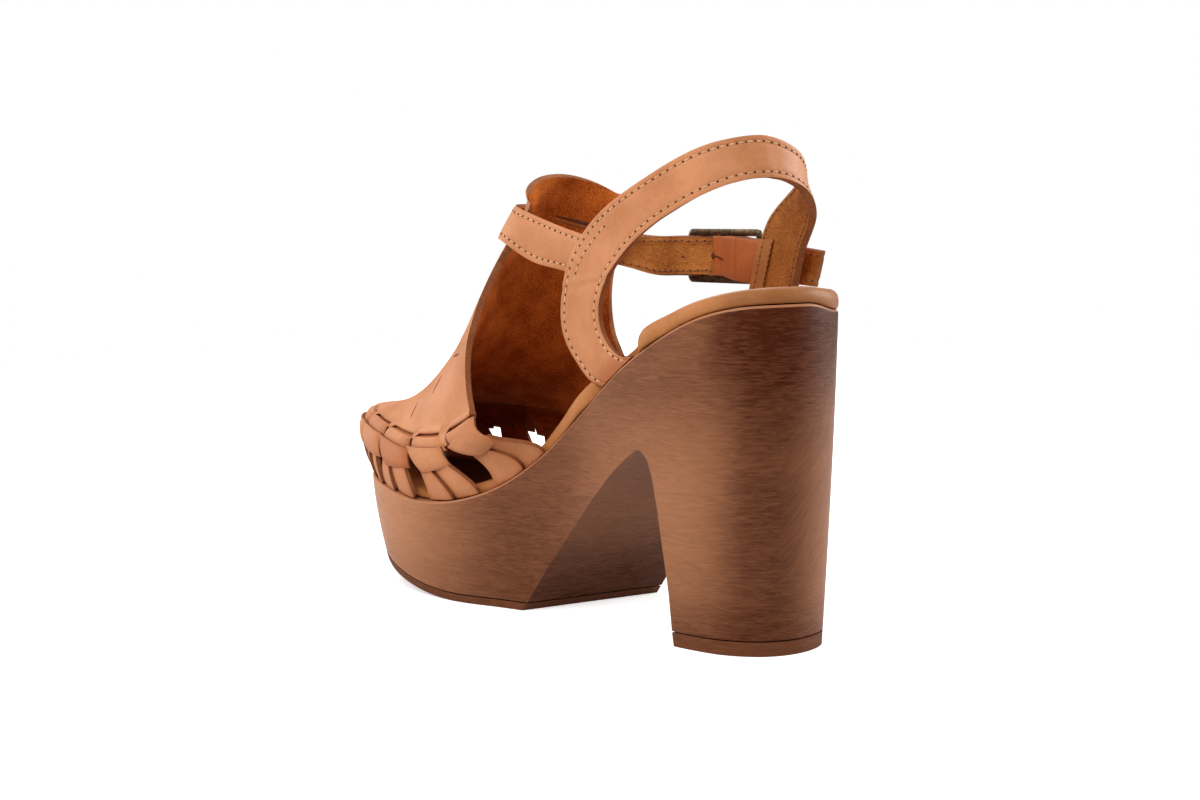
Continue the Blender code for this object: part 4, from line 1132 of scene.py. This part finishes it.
def ankle_point(s, z):
    """A point of the strap's outer face at a distance round the ankle and a height."""
    lengths, points = ankle_halves[0 if s >= 0 else 1]
    side = -1.0 if s >= 0 else 1.0
    flat_x, flat_y = (np.interp(abs(s), lengths, points[:, axis]) for axis in (0, 1))
    back = np.clip((LEAN_END - flat_x) / LEAN_REACH, 0.0, 1.0)
    x = flat_x + LEAN * back * (z - LEAN_FROM)
    width = medial_width if side > 0 else lateral_width
    rise = smooth_step((z - sole_top(x)) / BASE_BLEND)
    edge = width(station(x)) - BASE_INSET
    return np.array([x, side * (edge + (flat_y - edge) * rise), z])


def sling_base(s):
    """The strap's foot, just above the sole's rim."""
    return ankle_point(s, sole_top(ankle_point(s, BASE_LEVEL)[0]) + BASE_GAP)


print("halves of the ankle's plan:", [round(float(lengths[-1]), 1) for lengths, _ in ankle_halves], "mm")

# %% [markdown]
# A strap is a band between two edge lines. A place on it is a share of its length and a share of its width,
# and seams, grooves and the facing all use these measures.

# %% A band between two edges
class Band:
    """A strap between two edges on its outer face."""

    def __init__(self, low, high):
        self.low, self.high = edge_curve(low), edge_curve(high)

    def place(self, share, across, lift=0.0):
        """A point at a share of the length, a distance in millimetres from an edge and a height."""
        a, b = self.low(share), self.high(share)
        small = 0.003
        ahead = self.low(share + small) + self.high(share + small)
        behind = self.low(share - small) + self.high(share - small)
        out = -unit(np.cross(ahead - behind, b - a))
        return a + (b - a) * np.asarray(across)[..., None] + out * np.asarray(lift)[..., None], out

    def width(self, share):
        """The distance between the edges."""
        return np.linalg.norm(self.high(share) - self.low(share), axis=-1)


front = [sling_base(SLING_BASES[0][0])] + [ankle_point(row[0], row[1]) for row in SLING]
rear = [sling_base(SLING_BASES[0][1])] + [ankle_point(row[2], row[3]) for row in SLING]
front.append(sling_base(SLING_BASES[1][0]))
rear.append(sling_base(SLING_BASES[1][1]))
sling_band = Band(front, rear)
print("sling strap is", round(float(sling_band.width(np.array(0.5))), 1), "mm wide at the back")

# %% [markdown]
# The instep strap starts under the sling strap on the medial side, passes over the tongue and runs
# through the buckle on the lateral side. Over the tongue its edges are read from the vamp's own surface, so
# the strap follows the skin; on both sides they are points of a table.

# %% Pattern of the instep strap
# Lower edge's distance and height, upper edge's distance and height, and how far out both are
INSTEP_MEDIAL = (
    (72.0, 125.5, 68.0, 139.5, 29.5, 29.5), (84.0, 128.0, 79.0, 142.2, 29.6, 29.6),
    (96.0, 130.4, 92.0, 145.2, 30.6, 30.2), (110.0, 132.8, 105.0, 148.4, 31.2, 29.8),
)
# Angle over the vamp, the vamp's rows at the lower and the upper edge
INSTEP_OVER = (
    (16.0, 5.30, 5.98), (50.0, 5.22, 5.90), (90.0, 5.10, 5.78), (130.0, 4.95, 5.62), (164.0, 4.80, 5.48),
)
INSTEP_LATERAL = (
    (121.0, 126.7, 121.0, 142.2, -39.2, -38.8), (105.0, 126.7, 105.0, 142.3, -40.0, -40.0),
    (101.0, 126.7, 101.0, 142.3, -40.4, -40.4), (96.5, 126.7, 96.5, 142.3, -43.0, -43.0),
    (92.0, 126.7, 92.0, 142.3, -47.0, -47.0), (87.0, 126.7, 87.0, 142.3, -48.2, -48.2),
    (82.0, 126.7, 82.0, 142.3, -47.7, -47.7), (75.0, 126.7, 75.0, 142.2, -44.6, -44.6),
    (67.5, 126.5, 67.5, 141.7, -41.0, -41.0), (60.0, 126.0, 60.0, 141.0, -40.9, -40.9),
    (46.0, 124.9, 46.0, 139.2, -40.7, -40.7), (33.5, 124.2, 29.8, 137.4, -40.0, -40.0),
)
low = [(row[0], row[4], row[1]) for row in INSTEP_MEDIAL]
high = [(row[2], row[5], row[3]) for row in INSTEP_MEDIAL]
reach = np.array(WALL + INSTEP_CLEAR + INSTEP)
for turn, low_row, high_row in INSTEP_OVER:
    low.append(vamp_outer(np.array(low_row), np.array(radians(turn)), reach))
    high.append(vamp_outer(np.array(high_row), np.array(radians(turn)), reach))
low += [(row[0], row[4], row[1]) for row in INSTEP_LATERAL]
high += [(row[2], row[5], row[3]) for row in INSTEP_LATERAL]
instep_band = Band(low, high)
print("instep strap is", round(float(instep_band.width(np.array(0.5))), 1), "mm wide over the tongue")

# %% [markdown]
# Both straps are stitched all round, two millimetres in from their edges, and the thread pulls a shallow
# groove into the leather. A bump texture would do from afar, but the groove shows at the strap's ends, so
# it is modelled: columns of the grid stand close together there.

# %% A strap
SEAM, STRAP_EDGE = 2.2, 0.6
GROOVE, GROOVE_WIDTH, EDGE_ROLL, EDGE_ROLL_WIDTH = 0.35, 0.7, 0.3, 0.8
FOLD_HEIGHT, FOLD_X, FOLD_SLOPE = 126.0, 80.0, 0.17


def sling_wear(place):
    """Creases of the sling strap as heights, and how burnished it is near the sole."""
    x, y, z = np.moveaxis(place, -1, 0)
    fold_line = z - FOLD_HEIGHT + FOLD_SLOPE * (x - FOLD_X)
    crease = ramp(y, 15.0, 23.0) * (0.2 * dent(fold_line - 1.3, 1.4) - 0.22 * dent(fold_line + 0.7, 1.0))
    behind = ramp(x, 30.0, 22.0) * ramp(z, 160.0, 165.0)
    crease += behind * (0.08 * dent(y - 3.6, 2.4) - 0.1 * dent(y - 0.6, 2.0))
    return crease, 0.8 * (1 - ramp(z - sole_top(x), 0.0, 12.0))


def strap(name, band, steps, thickness, wear=None):
    """A strap with a groove along each seam, and creases where it is worn."""
    share = np.linspace(0.0, 1.0, steps)[:, None]
    columns = np.array((0, 0.04, 0.08, 0.11, 0.14, 0.17, 0.2, 0.27, 0.36, 0.45))
    across = np.concatenate([columns, [0.5], 1 - columns[::-1]])[None]
    share, across = np.broadcast_arrays(share, across)
    width = band.width(share)
    edge = np.minimum(across, 1 - across) * width
    lift = -GROOVE * dent(edge - SEAM, GROOVE_WIDTH) - EDGE_ROLL * dent(edge, EDGE_ROLL_WIDTH)
    place, out = band.place(share, across, lift)
    crease, wear_and_painted_light = wear(place) if wear else (0.0 * lift, 0.0 * lift)
    piece = sheet(name, place + out * crease[..., None], out[steps // 2, 10], {"wear_and_painted_light": wear_and_painted_light})
    dress(piece, tan, lining, raw_edge)
    thicken(piece, thickness, STRAP_EDGE)
    return piece


print("seams run", SEAM, "mm in from the edges")

# %% [markdown]
# Both straps are made the same way. A small cylinder punches the prong's hole into the instep strap, as a
# maker would do it. The seam that joins the straps and the ends of the facing are found by their heights.

# %% Straps
STRAP_STEPS = 320
PUNCH, PUNCH_RADIUS, PUNCH_DEPTH = np.array((103.2, -40.0, 133.7)), 0.8, 12.0
JOINT_HEIGHTS, FACING_HEIGHTS = np.array((127.0, 149.0)), np.array((141.5, 121.0))
sling = strap("sling_strap", sling_band, STRAP_STEPS, STRAP, sling_wear)
keep(sling, "tan_leather", "ankle_straps")
instep = strap("instep_strap", instep_band, STRAP_STEPS, INSTEP)
choose()
bpy.ops.mesh.primitive_cylinder_add(vertices=20, radius=PUNCH_RADIUS * MM, depth=PUNCH_DEPTH * MM,
                                    rotation=(pi / 2, 0.0, 0.0), location=(PUNCH * MM + SHIFT).tolist())
punch = bpy.context.object
cut(instep, punch)
bpy.data.objects.remove(punch)
keep(instep, "tan_leather")

shares = np.linspace(0.0, 1.0, 800)
front_z = sling_band.low(shares)[:, 2]
rising = shares < 0.4
joint = np.interp(JOINT_HEIGHTS, front_z[rising], shares[rising])
falling = shares > 0.6
facing_ends = np.interp(-FACING_HEIGHTS, -front_z[falling], shares[falling])

# %% [markdown]
# Where the buckle's tab is sewn on, a smooth facing strengthens the inside of the sling strap. It is laid out
# in the strap's own measures, so it follows the strap, and its edge wavers like one cut by hand.

# %% Facing
FACING_WIDTH, FACING, FACING_EDGE = 8.5, 0.9, 0.25
share, across = np.meshgrid(np.linspace(*facing_ends, 40), np.linspace(0.02, 1.0, 12), indexing="ij")
wavy = FACING_WIDTH + 0.3 * np.sin(share * 700.0)
depth = np.full(share.shape, -STRAP - FACING)
place, out = sling_band.place(share, across * wavy / sling_band.width(share), depth)
facing = sheet("strap_facing", place, -out[20, 6])
dress(facing, padding, padding, raw_edge)
thicken(facing, FACING, FACING_EDGE)
keep(facing, "golden_leather")

# %% [markdown]
# A stitch is a short rounded bar of thread, sunk at both ends into a dark hole. One stitch and one hole
# are modelled and copied along every seam. A picture of stitches would look flat at the strap's edge.

# %% A stitch and its copies
PITCH = 3.3


def bead(segments, rings):
    """A small ball as points and faces, to be stretched and copied."""
    choose()
    bpy.ops.mesh.primitive_uv_sphere_add(segments=segments, ring_count=rings, radius=1.0)
    ball = bpy.context.object
    points = np.array([vertex.co for vertex in ball.data.vertices])
    faces = [tuple(face.vertices) for face in ball.data.polygons]
    bpy.data.objects.remove(ball)
    return points, faces


def copies(name, shape, size, places, along, out):
    """Copies of a small shape at places, laid along a direction."""
    points, faces = shape
    side = unit(np.cross(out, along))
    axes = np.stack([along, side, out], 1)
    every = places[:, None] + np.einsum("pk,nkx->npx", points * np.array(size), axes)
    mesh = bpy.data.meshes.new(name)
    count = len(points)
    mesh.from_pydata((every.reshape(-1, 3) * MM + SHIFT).tolist(), [],
                     [tuple(v + n * count for v in face) for n in range(len(places)) for face in faces])
    piece = bpy.data.objects.new(name, mesh)
    bpy.context.scene.collection.objects.link(piece)
    return piece


def seam_line(band, first, last, across_mm, from_high, lift):
    """Evenly spaced places along a seam of a strap, with directions along and out."""
    share = np.linspace(first, last, 1200)
    width = band.width(share)
    across = across_mm / width
    place, out = band.place(share, 1 - across if from_high else across, np.full(share.shape, lift))
    lengths = lengths_along(place)
    at = np.arange(PITCH / 2, lengths[-1], PITCH)

    def read(field, length):
        return np.stack([np.interp(length, lengths, field[:, axis]) for axis in range(3)], -1)

    along = unit(read(place, at + 0.3) - read(place, at - 0.3))
    return read(place, at), along, unit(read(unit(out), at))


stitch, hole = bead(6, 5), bead(8, 4)
print("a stitch has", len(stitch[1]), "faces and a hole", len(hole[1]))

# %% [markdown]
# Each strap has a seam along both edges, seen on its outer face and again on its lining, where the thread is
# brown. One more seam joins the two straps, and one holds the facing.

# %% Stitches
STITCH_SIZE, HOLE_SIZE = (1.25, 0.38, 0.3), (0.42, 0.42, 0.3)
SUNK, SUNK_INSIDE, JOINT_SEAM, FACING_SEAM = 0.25, 0.35, 6.2, 3.2
STITCHED = ((sling_band, 0.01, STRAP), (instep_band, 0.02, INSTEP))
SEAMS = [(band, first, 0.99, SEAM, from_high, -thick - SUNK_INSIDE if inside else -SUNK)
         for inside in (False, True) for band, first, thick in STITCHED for from_high in (False, True)]
SEAMS += [(sling_band, *joint, JOINT_SEAM, False, 0.0),
          (sling_band, *facing_ends, FACING_SEAM, False, -STRAP - FACING)]
threads, holes = [], []
for number, seam in enumerate(SEAMS):
    spots, along, out = seam_line(*seam)
    threads.append(copies(f"seam_{number}", stitch, STITCH_SIZE, spots, along, out))
    on_lining = seam[-1] < -INSTEP
    dress(threads[-1], brown_thread if on_lining else thread)
    holes.append(copies(f"holes_{number}", hole, HOLE_SIZE, spots + along * PITCH / 2, along, out))
seams = join("seam_threads", threads)
keep(seams, "tan_leather")
needle = join("seam_holes", holes)
dress(needle, hollow)
keep(needle, "tan_leather")

# %% [markdown]
# The buckle hangs on a thin leather tab, folded round its centre bar and sewn to the sling strap. A fold has
# the same section at every height, so the section is drawn from above as one path and raised to a sheet. Its
# inner leaf spreads a little, and both leaves fall towards the heel.

# %% Folded tab
TAB, TAB_LOW, TAB_HIGH, TAB_SPREAD, TAB_FALL = 1.0, 127.1, 142.3, 0.6, 2.4
TAB_EDGE, SPREAD_SPAN, FALL_SPAN = 0.2, (84.0, 76.0), (86.0, 56.0)
TAB_DARK_LINE, DARK_LINE_WIDTH, LEAF_SPLIT = 72.5, 0.7, -41.0
# The fold from above, inner leaf first: distance from the heel's back and how far out
TAB_PATH = (
    (46.0, -36.3), (57.0, -36.2), (66.0, -36.3), (71.0, -36.5), (74.0, -37.2), (84.0, -40.1), (88.2, -40.5),
    (90.2, -42.4), (88.2, -44.4), (84.0, -44.2), (77.0, -40.4), (66.0, -37.75), (58.0, -37.55),
)
path = edge_curve([(x, y, 0.0) for x, y in TAB_PATH])(np.linspace(0.0, 1.0, 160))
levels = np.linspace(-1.0, 1.0, 12)
points = np.repeat(path[:, None], len(levels), 1)
first_leaf = np.arange(len(path)) < len(path) // 2
inner_leaf = ramp(path[:, 0], *SPREAD_SPAN) * (path[:, 1] > LEAF_SPLIT) * first_leaf
half = (TAB_HIGH - TAB_LOW) / 2 + TAB_SPREAD * inner_leaf
points[..., 2] = (TAB_HIGH + TAB_LOW) / 2 + half[:, None] * levels[None]
points[..., 2] -= TAB_FALL * ramp(path[:, :1], *FALL_SPAN)
# A darker line across the inner leaf where it bends.
wear_and_light = np.broadcast_to(dent(path[:, :1] - TAB_DARK_LINE, DARK_LINE_WIDTH) * first_leaf[:, None], points.shape[:2])
tab = sheet("folded_tab", points, marks={"wear_and_painted_light": 0.8 * wear_and_light})
dress(tab, fold, fold, raw_edge)
thicken(tab, TAB, TAB_EDGE, offset=0.0)
keep(tab, "tan_leather", "buckle_tab")

# %% [markdown]
# A slot lets the prong through: a round hole at the fold, with a cut running from it along the inner leaf. A
# flat dark cord and a bead of painted shadow stand for them.

# %% Slot of the tab
SLOT = ((90.6, -41.2, 134.8), (88.0, -39.9, 134.6), (85.5, -39.7, 134.2), (82.0, -38.6, 133.4))
SLOT_END_SIZE = (1.5, 1.4, 0.6)
slot_path = edge_curve(SLOT)(np.linspace(0.0, 1.0, 16))
slot_out = np.broadcast_to((0.3, 0.95, 0.0), slot_path.shape)
slot = cord("tab_slot", slot_path, 0.5, 0.7, slot_out)
slot_along = unit(slot_path[5:6] - slot_path[4:5])
slot_end = copies("slot_end", bead(12, 8), SLOT_END_SIZE, slot_path[4:5], slot_along, slot_out[4:5])
slot = join("tab_slot", [slot, slot_end])
dress(slot, painted_shadow)
keep(slot, "tan_leather")

# %% [markdown]
# The buckle is a cast frame with softened edges. A box with a Bevel would do for it, but a rounded section
# swept round the frame's middle line has no hard corner left to soften.

# %% Buckle
BUCKLE_FRONT, BUCKLE_LOW, BUCKLE_HIGH = 104.5, 124.1, 145.0
RAIL, BAR_MIDDLE, BAR_WIDER, BUCKLE_THICK, BUCKLE_CORNER = 2.8, 87.0, 1.05, 1.8, 1.2


def bar_section(half_wide, half_deep, count=16):
    """A rounded rectangle round a bar: widths across it and depths."""
    angle = np.linspace(0.0, 2 * pi, count, endpoint=False)
    wide = half_wide * np.sign(np.cos(angle)) * np.abs(np.cos(angle)) ** 0.6
    deep = half_deep * np.sign(np.sin(angle)) * np.abs(np.sin(angle)) ** 0.6
    return wide, deep


def frame_path(corner, steps):
    """The middle line of the frame with its sideways directions, both flat."""
    half = RAIL / 2
    left, right = BUCKLE_REAR + half, BUCKLE_FRONT - half
    bottom, top = BUCKLE_LOW + half, BUCKLE_HIGH - half
    places, sides = [], []
    for x, z, start in ((right, top, 0), (left, top, 90), (left, bottom, 180), (right, bottom, 270)):
        angle = np.radians(start + np.linspace(0.0, 90.0, steps))
        way = np.stack([np.cos(angle), np.sin(angle)], -1)
        middle = np.array((x - corner if start in (0, 270) else x + corner,
                           z - corner if start in (0, 90) else z + corner))
        places.append(middle + corner * way)
        sides.append(way)
    return np.concatenate(places), np.concatenate(sides)


wide, deep = bar_section(RAIL / 2, BUCKLE_THICK / 2)
middle_y = BUCKLE_INNER - BUCKLE_THICK / 2
places, sides = frame_path(BUCKLE_CORNER, 6)
flat = places[:, None] + sides[:, None] * wide[None, :, None]
rings = np.stack([flat[..., 0], np.broadcast_to(middle_y + deep, flat.shape[:2]), flat[..., 1]], -1)
frame_ring = loft("frame_ring", np.concatenate([rings, rings[:1]]))
z = np.linspace(BUCKLE_LOW + RAIL / 2, BUCKLE_HIGH - RAIL / 2, 8)
bar_x = BAR_MIDDLE + wide[None] * BAR_WIDER
rings = np.stack(np.broadcast_arrays(bar_x, middle_y + deep[None], z[:, None]), -1)
centre_bar = loft("centre_bar", rings)
buckle = join("buckle_ring", [frame_ring, centre_bar])
dress(buckle, brass)
keep(buckle, "antique_brass", "buckle_frame")

# %% [markdown]
# The prong is a bent wire that tapers to its tip and reaches over the frame. Rings along a curve give a wire
# its taper directly.

# %% Prong
PRONG = ((90.0, -43.0), (92.5, -45.6), (96.0, -46.6), (100.0, -45.6), (105.0, -44.6))
PRONG_Z, PRONG_RADIUS, PRONG_TAPER, UPWARDS = 133.9, 1.0, 0.35, np.array((0.0, 0.0, 1.0))
path = edge_curve([(x, y, PRONG_Z) for x, y in PRONG])
share = np.linspace(0.0, 1.0, 40)
ahead = unit(path(share + 0.01) - path(share - 0.01))
side = unit(np.cross(ahead, UPWARDS))
angle = np.linspace(0.0, 2 * pi, 14, endpoint=False)
radius = PRONG_RADIUS - PRONG_TAPER * share ** 3
ring = np.cos(angle)[None, :, None] * side[:, None] + np.sin(angle)[None, :, None] * UPWARDS
prong = loft("prong", path(share)[:, None] + ring * radius[:, None, None])
dress(prong, brass)
keep(prong, "antique_brass", "buckle_prong")

# %% [markdown]
# The shoe stands on a white floor in front of white air. A floor as bright as the paper of a catalogue would
# throw too much light up at the shoe, so it glows for the camera alone and is grey for everything else.

# %% Floor of the studio
STUDIO, FLOOR_GLOW, FLOOR_ROUGH = 1.3, 0.5, 0.9


def studio_material():
    """White for the camera, grey for the light that bounces off it."""
    made = bpy.data.materials.new("studio_white")
    made.use_nodes = True
    tree = made.node_tree
    shader = tree.nodes["Principled BSDF"]
    place = add(tree, "TexCoord").outputs["Object"]
    tone = blend(tree, noise(tree, place, 2.0), (0.94, 0.94, 0.94, 1.0), (0.96, 0.96, 0.96, 1.0))
    seen = add(tree, "LightPath").outputs["Is Camera Ray"]
    tone = blend(tree, seen, (0.6, 0.6, 0.6, 1.0), tone)
    tree.links.new(scaled(tree, seen, 0.0, 1.0, 0.0, FLOOR_GLOW), shader.inputs["Emission Strength"])
    tree.links.new(tone, shader.inputs["Base Color"])
    shader.inputs["Roughness"].default_value = FLOOR_ROUGH
    shader.inputs["Emission Color"].default_value = (1.0, 1.0, 1.0, 1.0)
    return made


choose()
bpy.ops.mesh.primitive_plane_add(size=2 * STUDIO)
floor = bpy.context.object
floor.name = "studio_floor"
dress(floor, studio_material())
print(floor.name, "is", 2 * STUDIO, "m wide")

# %% [markdown]
# A product photograph is lit by soft boxes, large lights that leave soft shadows. Two stand at the medial
# side, one at the lateral side, one at the toe and one above; the last one whitens the floor behind. The air
# is white for the camera and dim for everything else.

# %% Lights
AIR_DIM, AIR_WHITE = 0.2, 1.0
# Name, place, aim, size in metres, power in watts
SOFT_BOXES = (
    ("front_box", (-0.55, 1.05, 1.0), (0.0, 0.0, 0.08), 0.8, 14.4),
    ("left_box", (0.75, 1.0, 0.6), (0.0, 0.0, 0.07), 0.8, 5.0),
    ("right_box", (-0.45, -1.05, 0.5), (0.0, 0.0, 0.08), 0.7, 12.0),
    ("toe_box", (1.2, 0.35, 0.35), (0.1, 0.0, 0.05), 0.6, 3.0),
    ("top_box", (0.1, 0.1, 1.4), (0.0, 0.0, 0.0), 1.0, 3.2),
    ("background_box", (0.9, -0.8, 1.1), (0.8, -0.7, 0.0), 1.2, 16.0),
)


def soft_box(name, place, aim, size, power):
    """A large area light that looks at a point."""
    light = bpy.data.lights.new(name, "AREA")
    light.shape, light.size, light.energy = "SQUARE", size, power
    lamp = bpy.data.objects.new(name, light)
    bpy.context.scene.collection.objects.link(lamp)
    lamp.location = place
    lamp.rotation_euler = (Vector(aim) - Vector(place)).to_track_quat("-Z", "Y").to_euler()


for box in SOFT_BOXES:
    soft_box(*box)
world = bpy.data.worlds.new("studio_air")
world.use_nodes = True
air = world.node_tree
seen = add(air, "LightPath").outputs["Is Camera Ray"]
air.links.new(scaled(air, seen, 0.0, 1.0, AIR_DIM, AIR_WHITE), air.nodes["Background"].inputs["Strength"])
air.nodes["Background"].inputs["Color"].default_value = (1.0, 1.0, 1.0, 1.0)
bpy.context.scene.world = world
bpy.context.scene.view_settings.view_transform = "Standard"
print(len(SOFT_BOXES), "soft boxes")

# %% [markdown]
# The camera stands behind the heel at the medial side, as high as the straps, and looks slightly down. Its
# lens is somewhat longer than a normal one. Place and angles were fitted to points of the shoe in the photo.

# %% Camera
CAMERA = np.array((-441.14, 469.51, 149.94))
CAMERA_ANGLES = (radians(90.0 - 5.536), 0.0, radians(139.511 + 90.0))
FOCAL_LENGTH, SENSOR = 57.0, 36.0
lens = bpy.data.cameras.new("camera")
lens.lens, lens.sensor_width = FOCAL_LENGTH, SENSOR
camera = bpy.data.objects.new("camera", lens)
camera.location = CAMERA * MM + SHIFT
camera.rotation_euler = CAMERA_ANGLES
bpy.context.scene.collection.objects.link(camera)
bpy.context.scene.camera = camera
print("camera at", [round(v, 3) for v in camera.location], "m")
